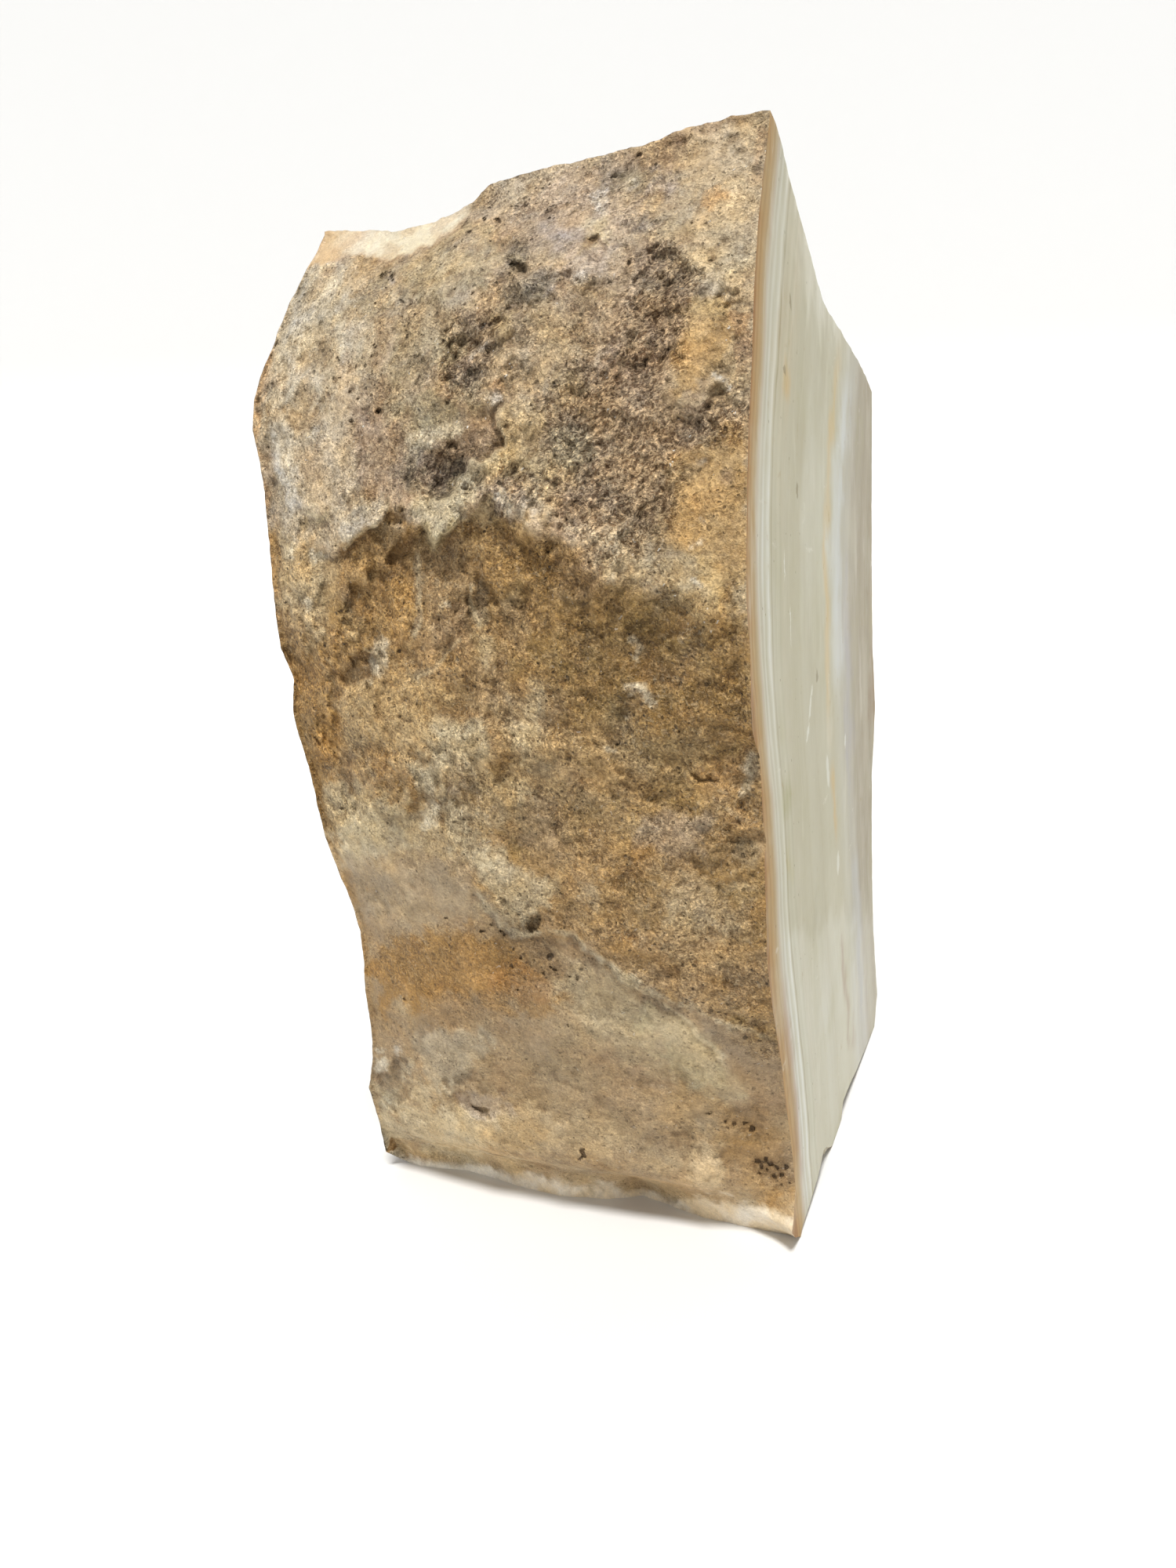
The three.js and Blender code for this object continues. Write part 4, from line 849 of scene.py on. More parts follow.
# patches with an outline: colour, strength, softness of the edge, outline
PATCHES = [
    ("light_beige", 0.7, 9, [(866, 190), (885, 172), (950, 160), (965, 165), (966, 300), (930, 318), (890, 322), (870, 300), (862, 260), (858, 220)]),
    ("amber_tan", 0.6, 2.5, [(888, 262), (893, 250), (905, 243), (918, 238), (930, 245), (925, 258), (905, 266)]),
    ("red_brown", 0.35, 5, [(958, 150), (975, 146), (975, 230), (962, 235)]),
    ("mud", 0.5, 6, [(800, 205), (830, 195), (856, 180), (870, 173), (876, 182), (866, 195), (850, 208), (820, 218)]),
    ("red_brown", 0.5, 4, [(856, 176), (870, 171), (876, 184), (862, 190)]),
    ("lavender", 0.5, 6, [(836, 225), (855, 220), (860, 240), (850, 254), (836, 250)]),
    ("pinkish", 0.6, 7, [(660, 255), (693, 233), (760, 210), (793, 203), (810, 217), (785, 233), (727, 255), (727, 293), (710, 308), (677, 308),
                         (653, 317), (643, 317), (660, 293), (657, 267)]),
    ("taupe", 0.4, 4, [(617, 262), (624, 247), (640, 240), (644, 246), (630, 258), (626, 272)]),
    ("slate", 0.55, 4, [(645, 331), (650, 318), (660, 312), (668, 318), (670, 332), (655, 334)]),
    ("slate", 0.65, 5, [(655, 367), (667, 362), (690, 350), (703, 352), (703, 368), (697, 375), (680, 385), (663, 392), (650, 390), (640, 380), (648, 372)]),
    ("taupe", 0.5, 6, [(615, 372), (630, 358), (650, 358), (653, 375), (640, 384), (620, 384)]),
    ("lavender", 0.65, 5, [(703, 355), (712, 340), (735, 325), (750, 325), (772, 328), (770, 345), (750, 356), (735, 364), (705, 367)]),
    ("lavender", 0.5, 6, [(710, 300), (730, 298), (745, 310), (743, 327), (720, 330), (708, 318)]),
    ("white", 0.5, 3.5, [(728, 352), (738, 345), (748, 348), (745, 357), (732, 362)]),
    ("pale", 0.7, 2.5, [(769, 300), (778, 301), (777, 317), (770, 317)]), ("brown", 0.6, 2.5, [(752, 302), (760, 299), (766, 303), (763, 311), (754, 313)]),
    ("white", 0.6, 2, [(753, 247), (760, 248), (757, 256)]), ("white", 0.45, 4, [(797, 240), (808, 228), (820, 230), (812, 242)]),
    ("white", 0.35, 4, [(768, 245), (777, 242), (776, 255), (768, 260)]), ("green", 0.4, 5, [(748, 275), (765, 268), (777, 280), (775, 298), (755, 300)]),
    ("purple", 0.22, 8, [(810, 330), (840, 318), (880, 322), (884, 340), (878, 365), (860, 380), (830, 378), (815, 360)]),
    ("purple", 0.36, 7, [(846, 352), (860, 345), (876, 355), (878, 375), (862, 384), (846, 376)]),
    ("pink_brown", 0.5, 7, [(780, 382), (876, 382), (872, 430), (860, 472), (850, 497), (800, 500), (770, 470), (768, 420)]),
    ("straw", 0.85, 4, [(876, 392), (895, 378), (922, 376), (932, 392), (930, 430), (920, 450), (907, 475), (895, 505), (862, 510), (852, 497), (860, 470), (870, 430)]),
    ("sand", 0.5, 4, [(888, 380), (915, 378), (925, 395), (905, 400), (885, 398)]),
    ("orange", 0.6, 4, [(934, 397), (956, 393), (960, 428), (934, 430)]), ("red_brown", 0.6, 4, [(935, 430), (960, 430), (960, 462), (945, 468), (936, 455)]),
    ("mud", 0.12, 6, [(910, 500), (960, 497), (960, 540), (925, 548), (905, 530)]), ("purple", 0.35, 6, [(860, 515), (905, 515), (905, 555), (880, 570), (862, 560)]),
    ("dark_brown", 0.25, 4, [(900, 498), (915, 490), (930, 498), (925, 507), (905, 506)]),
    ("straw", 0.8, 6, [(867, 577), (892, 565), (920, 547), (952, 540), (955, 605), (952, 680), (952, 730), (930, 767), (900, 780), (890, 750),
                       (880, 715), (847, 697), (845, 667), (857, 630), (855, 600)]),
    ("purple", 0.5, 3, [(925, 600), (933, 603), (935, 612), (927, 612)]), ("sand", 0.5, 6, [(785, 700), (840, 704), (900, 690), (925, 760), (902, 784), (868, 770), (840, 748), (800, 735), (780, 720)]),
    # around the pocket
    ("purple", 0.5, 5, [(585, 400), (610, 403), (632, 402), (633, 415), (625, 425), (615, 440), (607, 455), (600, 470), (612, 480), (600, 490),
                         (585, 492), (575, 480), (565, 470), (585, 455), (595, 440), (598, 425), (590, 412)]),
    ("sand", 0.6, 4, [(633, 400), (652, 398), (650, 422), (636, 425)]), ("sand", 0.5, 6, [(705, 478), (722, 474), (740, 482), (743, 500), (728, 513), (708, 508)]),
    ("orange", 0.4, 3, [(627, 492), (638, 488), (641, 500), (630, 502)]), ("white", 0.5, 3, [(624, 505), (634, 500), (638, 510), (630, 514)]),
    ("sand", 0.75, 5, [(640, 522), (660, 514), (690, 520), (700, 540), (696, 560), (706, 580), (700, 600), (670, 607), (640, 600), (622, 594), (632, 586), (643, 570), (641, 552)]),
    ("grey_beige", 0.55, 4, [(645, 508), (660, 503), (673, 510), (670, 525), (655, 533), (644, 528)]),
    ("moss", 0.7, 5, [(697, 548), (710, 540), (740, 545), (763, 555), (763, 575), (755, 590), (730, 597), (708, 590), (700, 572)]),
    ("pale", 0.45, 2.5, [(733, 549), (745, 545), (756, 550), (745, 555)]),
    ("pink_brown", 0.65, 6, [(457, 527), (490, 523), (510, 532), (520, 552), (527, 570), (515, 597), (515, 615), (533, 633), (523, 650), (503, 640),
                             (482, 637), (462, 632), (458, 607), (450, 583), (452, 557)]),
    ("moss", 0.5, 6, [(527, 508), (540, 505), (560, 508), (572, 515), (573, 527), (563, 540), (560, 550), (540, 552), (523, 552), (513, 543), (520, 523)]),
    ("pale", 0.7, 3, [(525, 555), (540, 552), (557, 552), (578, 545), (583, 547), (573, 553), (560, 563), (550, 570), (540, 572), (530, 572), (525, 563)]),
    ("mud", 0.75, 3, [(577, 552), (587, 547), (597, 538), (607, 533), (620, 530), (632, 534), (636, 545), (641, 563), (634, 577), (622, 589), (612, 589),
                      (602, 584), (587, 588), (573, 588), (563, 582), (557, 570), (567, 563)]),
    ("slate", 0.85, 4, [(528, 577), (540, 573), (550, 577), (563, 585), (573, 590), (587, 590), (600, 586), (598, 603), (585, 614), (575, 629), (555, 634),
                        (540, 632), (530, 628), (520, 617), (515, 607), (520, 597), (523, 585)]),
    ("purple", 0.6, 4, [(540, 580), (560, 588), (592, 591), (596, 603), (580, 614), (570, 626), (550, 628), (535, 610)]),
    ("knob", 0.6, 6, [(533, 640), (557, 636), (573, 633), (578, 623), (590, 610), (600, 607), (605, 617), (603, 632), (590, 636), (583, 648), (585, 664),
                       (572, 678), (557, 693), (548, 687), (540, 670), (523, 657)]),
    ("chalk", 0.62, 3, [(447, 647), (470, 641), (488, 643), (498, 648), (487, 667), (477, 673), (453, 688), (438, 702), (428, 697), (428, 680), (438, 663)]),
    ("brown", 0.8, 2.5, [(490, 670), (490, 665), (500, 650), (512, 647), (516, 657), (510, 667), (498, 672)]),
    ("straw", 0.6, 2, [(502, 672), (510, 669), (516, 672), (508, 677)]), ("dark_brown", 0.3, 8, [(505, 700), (518, 688), (530, 690), (530, 702), (518, 712), (507, 712)]),
    ("lavender", 0.5, 5, [(623, 632), (633, 617), (653, 613), (673, 622), (680, 640), (680, 657), (667, 668), (643, 660), (632, 645)]),
    ("white", 0.4, 3, [(634, 640), (645, 632), (652, 640), (645, 655)]), ("white", 0.4, 3, [(663, 645), (672, 636), (678, 648), (668, 662)]),
    ("light_beige", 0.7, 6, [(380, 577), (402, 562), (425, 540), (440, 520), (450, 560), (460, 602), (457, 627), (437, 638), (420, 660), (410, 653), (397, 643),
                      (387, 623), (380, 610)]),
    ("taupe", 0.55, 5, [(386, 575), (405, 573), (410, 592), (400, 605), (386, 600)]),
    ("white", 0.6, 4, [(355, 570), (372, 573), (375, 602), (370, 627), (380, 650), (370, 655), (362, 627), (355, 605)]),
    ("chalk", 0.6, 3, [(357, 655), (368, 655), (366, 690), (372, 700), (363, 717), (354, 712), (360, 690)]),
    ("white", 0.6, 2.5, [(403, 707), (423, 705), (418, 713), (410, 718)]), ("moss", 0.5, 4, [(393, 655), (403, 648), (411, 657), (405, 672), (395, 670)]),
    ("tan", 0.5, 6, [(374, 690), (395, 680), (420, 705), (425, 730), (395, 735), (378, 715)]), ("white", 0.4, 3.5, [(433, 333), (455, 330), (457, 345), (440, 347)]),
    ("lavender", 0.6, 2.5, [(488, 352), (500, 352), (503, 360), (492, 361)]),
    # middle zone
    ("slate", 0.7, 4, [(605, 735), (618, 738), (624, 760), (620, 788), (608, 792), (603, 765)]), ("pale", 0.3, 6, [(615, 800), (628, 812), (632, 850), (622, 872), (612, 845)]),
    ("ochre", 0.4, 9, [(470, 970), (500, 962), (530, 985), (525, 1020), (490, 1028), (468, 1005)]), ("pale", 0.5, 6, [(557, 935), (580, 922), (612, 930), (618, 960), (590, 976), (560, 970)]),
    ("white", 0.45, 5, [(537, 985), (550, 978), (560, 1000), (556, 1040), (545, 1048), (537, 1020)]), ("grey_beige", 0.5, 6, [(650, 920), (668, 912), (684, 930), (680, 975), (655, 980)]),
    ("lavender", 0.4, 9, [(810, 1050), (850, 1038), (903, 1045), (903, 1080), (860, 1090), (815, 1082)]), ("slate", 0.5, 6, [(935, 1068), (955, 1062), (968, 1080), (955, 1095), (938, 1090)]),
    ("chalk", 0.55, 8, [(612, 1085), (625, 1078), (650, 1095), (680, 1110), (708, 1125), (708, 1145), (690, 1160), (672, 1172), (652, 1182), (640, 1172), (622, 1145), (608, 1120)]),
    ("grey_beige", 0.55, 9, [(448, 1120), (520, 1110), (600, 1130), (612, 1160), (600, 1178), (540, 1180), (480, 1178), (455, 1150)]),
    # lower zone
    ("ochre", 0.85, 8, [(485, 1200), (530, 1192), (560, 1186), (600, 1182), (640, 1207), (680, 1235), (705, 1270), (708, 1290), (690, 1302), (660, 1290),
                       (620, 1275), (560, 1270), (520, 1288), (480, 1290), (475, 1240)]),
    ("orange", 0.6, 7, [(627, 1240), (660, 1232), (690, 1245), (702, 1262), (690, 1278), (660, 1275), (630, 1262)]),
    ("slate", 0.8, 2.5, [(670, 1184), (674, 1174), (684, 1167), (691, 1172), (687, 1184), (678, 1191)]),
    ("grey_beige", 0.55, 8, [(715, 1256), (738, 1226), (790, 1258), (822, 1288), (830, 1330), (800, 1322), (745, 1300)]),
    ("taupe", 0.6, 6, [(640, 1192), (700, 1196), (728, 1208), (760, 1236), (770, 1262), (740, 1262), (712, 1250), (680, 1222)]),
    ("facet", 0.6, 9, [(706, 1206), (744, 1216), (790, 1250), (822, 1279), (878, 1309), (922, 1359), (956, 1400), (900, 1396), (840, 1372), (790, 1340), (748, 1302), (716, 1262)]),
    ("green", 0.30, 6, [(822, 1279), (846, 1287), (878, 1309), (908, 1336), (922, 1359), (934, 1381), (956, 1400), (930, 1400), (911, 1389), (872, 1372),
                       (846, 1350), (822, 1318), (812, 1295)]),
    ("light_beige", 0.45, 5, [(826, 1290), (850, 1296), (884, 1322), (908, 1352), (916, 1372), (880, 1360), (846, 1330)]),
    ("taupe", 0.7, 5, [(817, 1262), (861, 1276), (911, 1303), (955, 1322), (989, 1334), (989, 1381), (956, 1366), (924, 1345), (900, 1320), (856, 1289)]),
    ("chalk", 0.55, 5, [(525, 1350), (540, 1325), (575, 1312), (610, 1315), (630, 1330), (625, 1355), (600, 1370), (590, 1390), (575, 1398), (555, 1385), (540, 1372)]),
    ("lavender", 0.5, 5, [(584, 1392), (605, 1385), (640, 1395), (646, 1412), (625, 1422), (595, 1412)]), ("tan", 0.45, 7, [(615, 1440), (650, 1433), (690, 1445), (690, 1468), (640, 1472)]),
    ("ochre", 0.35, 9, [(902, 1415), (950, 1412), (995, 1430), (1005, 1535), (960, 1530), (935, 1500), (925, 1450)]),
    ("light_beige", 0.6, 4, [(882, 1462), (900, 1456), (918, 1466), (921, 1490), (915, 1508), (895, 1512), (880, 1500)]),
    ("dark_brown", 0.5, 4, [(958, 1476), (985, 1474), (1005, 1488), (1008, 1508), (990, 1510), (968, 1500)]), ("ochre", 0.55, 5, [(955, 1515), (1000, 1512), (1008, 1540), (965, 1540)]),
    ("bronze", 0.45, 9, [(626, 1186), (680, 1186), (722, 1208), (742, 1236), (706, 1262), (668, 1240), (640, 1214)]),
    ("bronze", 0.30, 5, [(560, 1216), (590, 1210), (606, 1226), (590, 1240), (566, 1236)]), ("bronze", 0.35, 6, [(640, 1262), (680, 1256), (704, 1278), (690, 1296), (655, 1288)]),
    ("umber", 0.30, 5, [(500, 1204), (528, 1198), (538, 1214), (515, 1222)]), ("ochre", 0.35, 9, [(500, 1262), (600, 1262), (636, 1290), (600, 1316), (520, 1308)]),
    ("taupe", 0.45, 10, [(440, 1130), (520, 1112), (606, 1140), (610, 1176), (520, 1186), (458, 1176)]), ("umber", 0.35, 4, [(560, 1160), (584, 1152), (600, 1166), (590, 1180), (566, 1180)]),
    # folds and lumps of the middle left
    ("fawn", 0.72, 10, [(436, 872), (480, 862), (540, 874), (580, 890), (560, 936), (540, 964), (470, 964), (440, 940)]),
    ("light_beige", 0.45, 7, [(362, 655), (400, 650), (427, 690), (424, 760), (402, 806), (372, 796), (360, 720)]), ("taupe", 0.4, 5, [(404, 668), (416, 662), (420, 690), (408, 694)]),
    ("white", 0.6, 2.5, [(394, 698), (416, 700), (420, 714), (404, 716)]), ("white", 0.5, 2, [(366, 688), (375, 688), (372, 708)]), ("white", 0.45, 2, [(386, 764), (396, 766), (391, 778)]),
    ("umber", 0.32, 6, [(500, 692), (530, 680), (541, 700), (522, 732), (492, 760), (482, 742)]), ("rich_gold", 0.35, 7, [(492, 748), (520, 736), (531, 770), (522, 802), (498, 812), (476, 800)]),
    ("taupe", 0.5, 9, [(540, 705), (590, 700), (600, 760), (594, 830), (548, 835), (538, 770)]), ("pink_brown", 0.4, 7, [(545, 790), (590, 775), (596, 820), (560, 850), (545, 840)]),
    ("umber", 0.55, 4, [(440, 836), (460, 826), (478, 838), (474, 862), (452, 874), (438, 862)]), ("white", 0.5, 3, [(470, 846), (478, 842), (478, 866), (470, 876)]),
    ("rich_gold", 0.45, 5, [(408, 880), (423, 882), (430, 930), (426, 962), (413, 960), (406, 920)]), ("chalk", 0.45, 8, [(552, 922), (582, 910), (620, 925), (622, 968), (600, 982), (565, 976)]),
    ("lavender", 0.45, 6, [(563, 976), (590, 970), (610, 986), (604, 1010), (575, 1010)]), ("chalk", 0.28, 5, [(655, 890), (672, 885), (692, 900), (686, 950), (660, 955)]),
    ("pale", 0.45, 10, [(412, 1008), (450, 998), (524, 1022), (520, 1078), (440, 1086), (418, 1050)]), ("taupe", 0.2, 9, [(640, 860), (720, 900), (716, 980), (660, 990), (640, 950)]),
    ("fawn", 0.35, 9, [(780, 690), (850, 720), (905, 770), (880, 780), (820, 752), (770, 716)]), ("rich_gold", 0.30, 8, [(866, 585), (895, 570), (950, 548), (950, 640), (920, 700), (880, 700), (856, 660)]),
    ("beige", 0.65, 9, [(536, 942), (600, 930), (636, 950), (632, 1004), (560, 1004)]), ("fawn", 0.34, 12, [(640, 930), (830, 925), (904, 934), (906, 1000), (838, 1004), (650, 1010)]),
    ("rich_gold", 0.35, 8, [(905, 776), (952, 780), (955, 840), (915, 836)]), ("fawn", 0.3, 9, [(850, 1180), (950, 1170), (975, 1230), (880, 1236)]),
    ("taupe", 0.45, 8, [(440, 1100), (520, 1092), (600, 1104), (610, 1136), (520, 1142), (450, 1136)]), ("taupe", 0.30, 9, [(836, 1090), (900, 1084), (912, 1150), (850, 1156)]),
    ("taupe", 0.30, 12, [(470, 1330), (560, 1286), (700, 1262), (730, 1300), (660, 1370), (520, 1384)]), ("fawn", 0.40, 10, [(730, 376), (800, 372), (830, 400), (826, 440), (760, 444)]),
    ("beige", 0.35, 10, [(642, 460), (720, 456), (738, 520), (704, 584), (652, 566)]), ("fawn", 0.40, 7, [(894, 470), (955, 466), (955, 520), (900, 522)]),
    ("fawn", 0.35, 12, [(730, 500), (800, 500), (850, 520), (850, 640), (800, 660), (740, 620), (722, 560)]),
]
# streaks: colour, strength, half width, points
STREAKS = [
    ("chalk", 0.6, 14, [(425, 352), (402, 381), (391, 404), (377, 429), (366, 462), (358, 490), (362, 529), (358, 557), (362, 620)]),
    ("amber_tan", 0.6, 6, [(352, 430), (336, 470), (326, 520), (328, 570), (338, 650), (345, 730), (352, 800)]),
    ("ochre", 0.4, 7, [(392, 940), (402, 1000), (414, 1060), (446, 1140), (462, 1210), (468, 1290)]),
    ("pale", 0.5, 11, [(640, 618), (684, 650), (722, 672), (756, 694), (806, 716), (860, 738), (904, 752)]),
    ("chalk", 0.6, 3.5, [(608, 1131), (614, 1140), (622, 1156), (638, 1177), (654, 1191), (671, 1194), (692, 1192)]),
    ("chalk", 0.65, 4, [(700, 1186), (728, 1192), (744, 1208), (767, 1226), (798, 1250), (822, 1263)]),
    ("chalk", 0.45, 3, [(822, 1263), (850, 1272), (880, 1284), (911, 1300), (950, 1316), (985, 1322)]),
    ("pale", 0.45, 3, [(822, 1266), (850, 1284), (880, 1304), (910, 1334), (928, 1360)]),
    ("pale", 0.30, 8, [(687, 864), (672, 910), (655, 950), (652, 979), (666, 1006), (690, 1030)]),
    ("chalk", 0.5, 12, [(548, 930), (546, 985), (560, 1030), (600, 1070), (640, 1110)]),
    ("white", 0.55, 5, [(955, 960), (957, 990), (955, 1018)]),
    ("dark_brown", 0.7, 4, [(886, 984), (900, 988), (916, 988)]),
    ("white", 0.75, 3, [(907, 480), (913, 484), (920, 486), (932, 494)]), ("white", 0.6, 2.5, [(882, 737), (886, 742), (887, 748)]),
    ("white", 0.6, 2.5, [(890, 594), (897, 590), (900, 585)]), ("white", 0.55, 2.5, [(892, 660), (896, 664), (897, 668)]),
    ("white", 0.5, 3, [(880, 695), (890, 690), (897, 689)]), ("white", 0.5, 3, [(596, 466), (608, 452), (622, 438)]),
    ("chalk", 0.5, 4, [(484, 1420), (500, 1398), (516, 1372), (524, 1352)]),
    ("orange", 0.4, 5, [(966, 560), (962, 700), (964, 840), (968, 950)]),
    ("chalk", 0.4, 2.6, [(533, 704), (536, 750), (534, 790), (528, 812)]), ("chalk", 0.3, 2.6, [(592, 812), (570, 832), (548, 856), (528, 868)]),
    ("chalk", 0.6, 2.8, [(600, 740), (597, 765), (602, 786), (614, 798), (623, 790)]), ("white", 0.5, 2.4, [(566, 772), (574, 775)]),
    ("knob", 0.45, 9, [(540, 688), (560, 680), (576, 660), (590, 632), (606, 607), (626, 594), (648, 588)]),
]


# ground tones of each zone, with how common each is
GROUND = {
    "upper": (("beige", 0.6), ("grey_beige", 0.9), ("tan", 0.1), ("taupe", 0.5), ("moss", 0.0), ("pinkish", 0.5), ("pink_brown", 0.3), ("pale", -0.5), ("purple", -1.2)),
    "middle": (("brown", 1.0), ("tan", 0.1), ("olive", 0.3), ("straw", 0.0), ("taupe", 0.1), ("mud", 0.3), ("dark_brown", 0.0), ("grey_beige", -0.8)),
    "lower": (("sandy", 0.8), ("taupe", 0.5), ("tan", 0.2), ("mud", 0.1), ("grey_beige", -0.2), ("pink_brown", 0.0), ("pale", -1.2), ("brown", -0.2)),
}


def rind_paint(p, px, py):
    wx, wy, tx, ty = wander(p, px, py)
    ledge, ridge, upper, lower, middle = rind_zones(wx, wy)
    c = {k: linear(v) for k, v in PALETTE.items()}
    q = bent(p, 7.0, 3.0, 410)
    col = np.zeros((len(p), 3))
    for k, (zone, weight) in enumerate((("upper", upper), ("middle", middle), ("lower", lower))):
        total, part = np.zeros(len(p)), np.zeros((len(p), 3))
        for j, (key, often) in enumerate(GROUND[zone]):
            w = np.exp(0.95 * unit(fbm(q, (13, 12, 17)[k], 5, 420 + 40 * k + 3 * j, 0.55)) + often)
            total += w
            part += w[:, None] * c[key]
        col += weight[:, None] * part / total[:, None]
    # broken edges for the marks
    coarse = [unit(fbm(q, size, 5, 560 + 7 * k, 0.6)) for k, size in enumerate((9, 7, 11, 6))]
    fine = unit(fbm(p, 1.5, 2, 590, 0.7))
    for k, (key, strength, edge, (cx, cy, rx, ry, deg)) in enumerate(OVALS):
        a, b = turned(wx, wy, cx, cy, deg)
        s = 1 - np.hypot(a / (rx * 1.12), b / (ry * 1.12))
        ragged = min(0.5, 14.0 / min(rx, ry) + 0.18)
        m = 0.86 * strength * ease(0.5 + (s - 0.05 + ragged * coarse[k % 4] + 0.10 * fine) / (0.7 + edge * 0.6))
        col = mix(col, c[key], m[:, None])
    for k, (key, strength, edge, outline) in enumerate(PATCHES):
        sd = outline_distance(tx, ty, outline)
        m = 0.92 * strength * ease(0.5 + (sd + (1.6 + 0.7 * edge) * coarse[(k + 2) % 4] + 0.8 * fine) / (2.2 * edge))
        col = mix(col, c[key], m[:, None])
    for k, (key, strength, half, pts) in enumerate(STREAKS):
        d, along, _ = line_distance(tx, ty, pts) if half < 7 else line_distance(wx, wy, pts)
        ends = ease(np.minimum(along, 1 - along) / 0.08 + 0.3)
        m = 0.9 * strength * ends * ease(0.55 + (0.8 - d / half + 0.45 * coarse[(k + 1) % 4] + 0.25 * fine) / 1.5)
        col = mix(col, c[key], m[:, None])
    # cream break along the top left rim and along the foot, where clean stone shows
    brim = np.interp(px, BRIM_PX[:, 0], BRIM_PX[:, 1])
    top = ease(0.5 + (brim - ty) / 5) * ease((606 - px) / 10)
    warm_end = ease((450 - wx) / 40)
    body = mix(c["cream"], c["white"], np.clip(0.45 + 0.25 * coarse[2], 0, 1)[:, None])
    body = mix(body, mix(c["cream"], c["amber_tan"], 0.45), (warm_end * np.clip(0.8 + 0.2 * coarse[0], 0, 1))[:, None])
    body = mix(body, c["amber_tan"], (0.35 * ease(0.2 + 0.5 * coarse[3]))[:, None])
    body = body * mix(np.array([0.81, 0.735, 0.64]), np.array([0.79, 0.775, 0.715]), ease((wx - 440) / 70)[:, None])
    col = mix(col, body, 0.95 * top[:, None])
    line = np.exp(-((brim - ty) / 2.6) ** 2) * ease((606 - px) / 10) * ease((px - 412) / 12)
    col = mix(col, c["pink_brown"], 0.6 * line[:, None])
    foot = np.interp(px, [480, 493, 542, 560, 610, 660, 700, 750, 800, 830, 860, 900, 946, 1002, 1020],
                     [1470, 1470, 1486, 1484, 1489, 1498, 1502, 1508, 1515, 1521, 1528, 1528, 1538, 1552, 1556])
    strip = ease((0.6 * ty + 0.4 * wy - foot + 6) / 12)
    col = col * (1 + 0.24 * ease((py - foot + 64) / 50) * ease((px - 470) / 40))[:, None]      # painted light: lighter where the rind turns under, against its shade
    # the pale foot is clean broken stone, made paler still as painted light where it faces down towards the floor
    pale_foot = mix(linear((248, 242, 228)), linear((228, 206, 166)), (ease(np.interp(px, [480, 620, 700, 1000], [0, 0.2, 0.8, 0.7])) * np.clip(0.7 + 0.3 * coarse[1], 0, 1))[:, None])
    col = mix(col, pale_foot, (np.interp(px, [600, 700, 1000], [0.88, 0.78, 0.70]) * strip)[:, None])
    clean = np.maximum(0.95 * strip, top)
    # mottling, kept small
    strong = (1.0 * upper + 0.75 * middle + 0.5 * lower) * (1 - 0.6 * clean)
    col = col * np.exp(strong * (0.09 * unit(fbm(p, 6.5, 4, 406, 0.6)) + 0.05 * fine))[:, None]
    warm = (0.05 * strong * unit(fbm(q, 6, 4, 408, 0.6)))[:, None]
    col = col * np.exp(warm * np.array([0.6, 0.0, -1.2]))
    col = col * mix(np.ones(3), np.array([0.935, 0.93, 0.885]), (lower * (1 - clean))[:, None])
    col = col * mix(np.ones(3), np.array([1.0, 0.978, 0.883]), (middle * (1 - clean))[:, None])
    col = col * mix(np.ones(3), mix(np.array([0.955, 0.955, 0.99]), np.array([0.94, 0.92, 0.88]), ease((px - 800) / 80)[:, None]), (upper * (1 - clean))[:, None])
    # painted shade in the hollows and painted highlight on the crests of the relief
    deep = ease((cavity - 0.54) / 0.34)[:, None]
    high = ease((0.47 - cavity) / 0.34)[:, None]
    stain_and_shade = mix(np.array([0.46, 0.39, 0.32]), np.array([0.52, 0.48, 0.41]), ease(0.5 + 0.4 * coarse[2])[:, None])
    # painted shade: darker in the hollows of the relief
    col = mix(col, col * stain_and_shade, 0.58 * deep * (1 - 0.8 * clean[:, None]))
    # painted highlight: lighter on the crests of the relief
    col = mix(col, col * 1.22 + 0.012, 0.7 * high)
    # tiny dark pits
    near, _, ident = cells(bent(p, 1.6, 0.8, 610), 1.7, 613)
    dots = (ident > 0.82) * ease(1.2 - near / 0.30) * ease(0.5 + 0.9 * unit(fbm(p, 10, 3, 616)))
    col = mix(col, col * np.array([0.34, 0.31, 0.24]), (dots * (0.62 * upper + 0.45 * middle + 0.25 * lower) * (1 - clean))[:, None])
    ochre_bed = ease(oval(wx, wy, 610, 1236, 160, 70, 8) * 1.8)
    grit = np.clip(1.0 * upper + 1.05 * middle + (0.38 + 0.35 * ochre_bed) * lower, 0, 1.05) * (1 - 0.8 * clean) * (1 - 0.5 * calm_mask(wx, wy))
    grit = grit * np.clip(0.9 + 0.16 * coarse[3], 0.4, 1.2)
    # distance fields for shapes finer than the mesh
    lip, lip_near = rim_field(tx, ty)
    jx, jy = px + 1.3 * unit(fbm(p, 1.7, 2, 141)), py + 1.3 * unit(fbm(p, 1.7, 2, 142))
    return np.clip(col, 0, 1), grit, needle_mask(wx, wy), clean, upper, lower, lip, lip_near, np.clip(pit_field(jx, jy), -1, 1.5)


paint, grit, needles, clean, z_up, z_low, lip, lip_near, pit = rind_paint(base, pix[:, 0], pix[:, 1])


# ------------------------------------------------------------------ growth coordinate of the bands
# Depth below the rind, counted along +Y; the layers follow the rind and stay bowed deeper in.
DEEP_BOW = np.array([[-6, 32], [0, 31], [20, 25], [40, 17], [60, 11], [80, 6], [100, 2], [120, 0], [135, 1.5], [150, 7],
    [165, 14], [178, 20], [200, 28]])


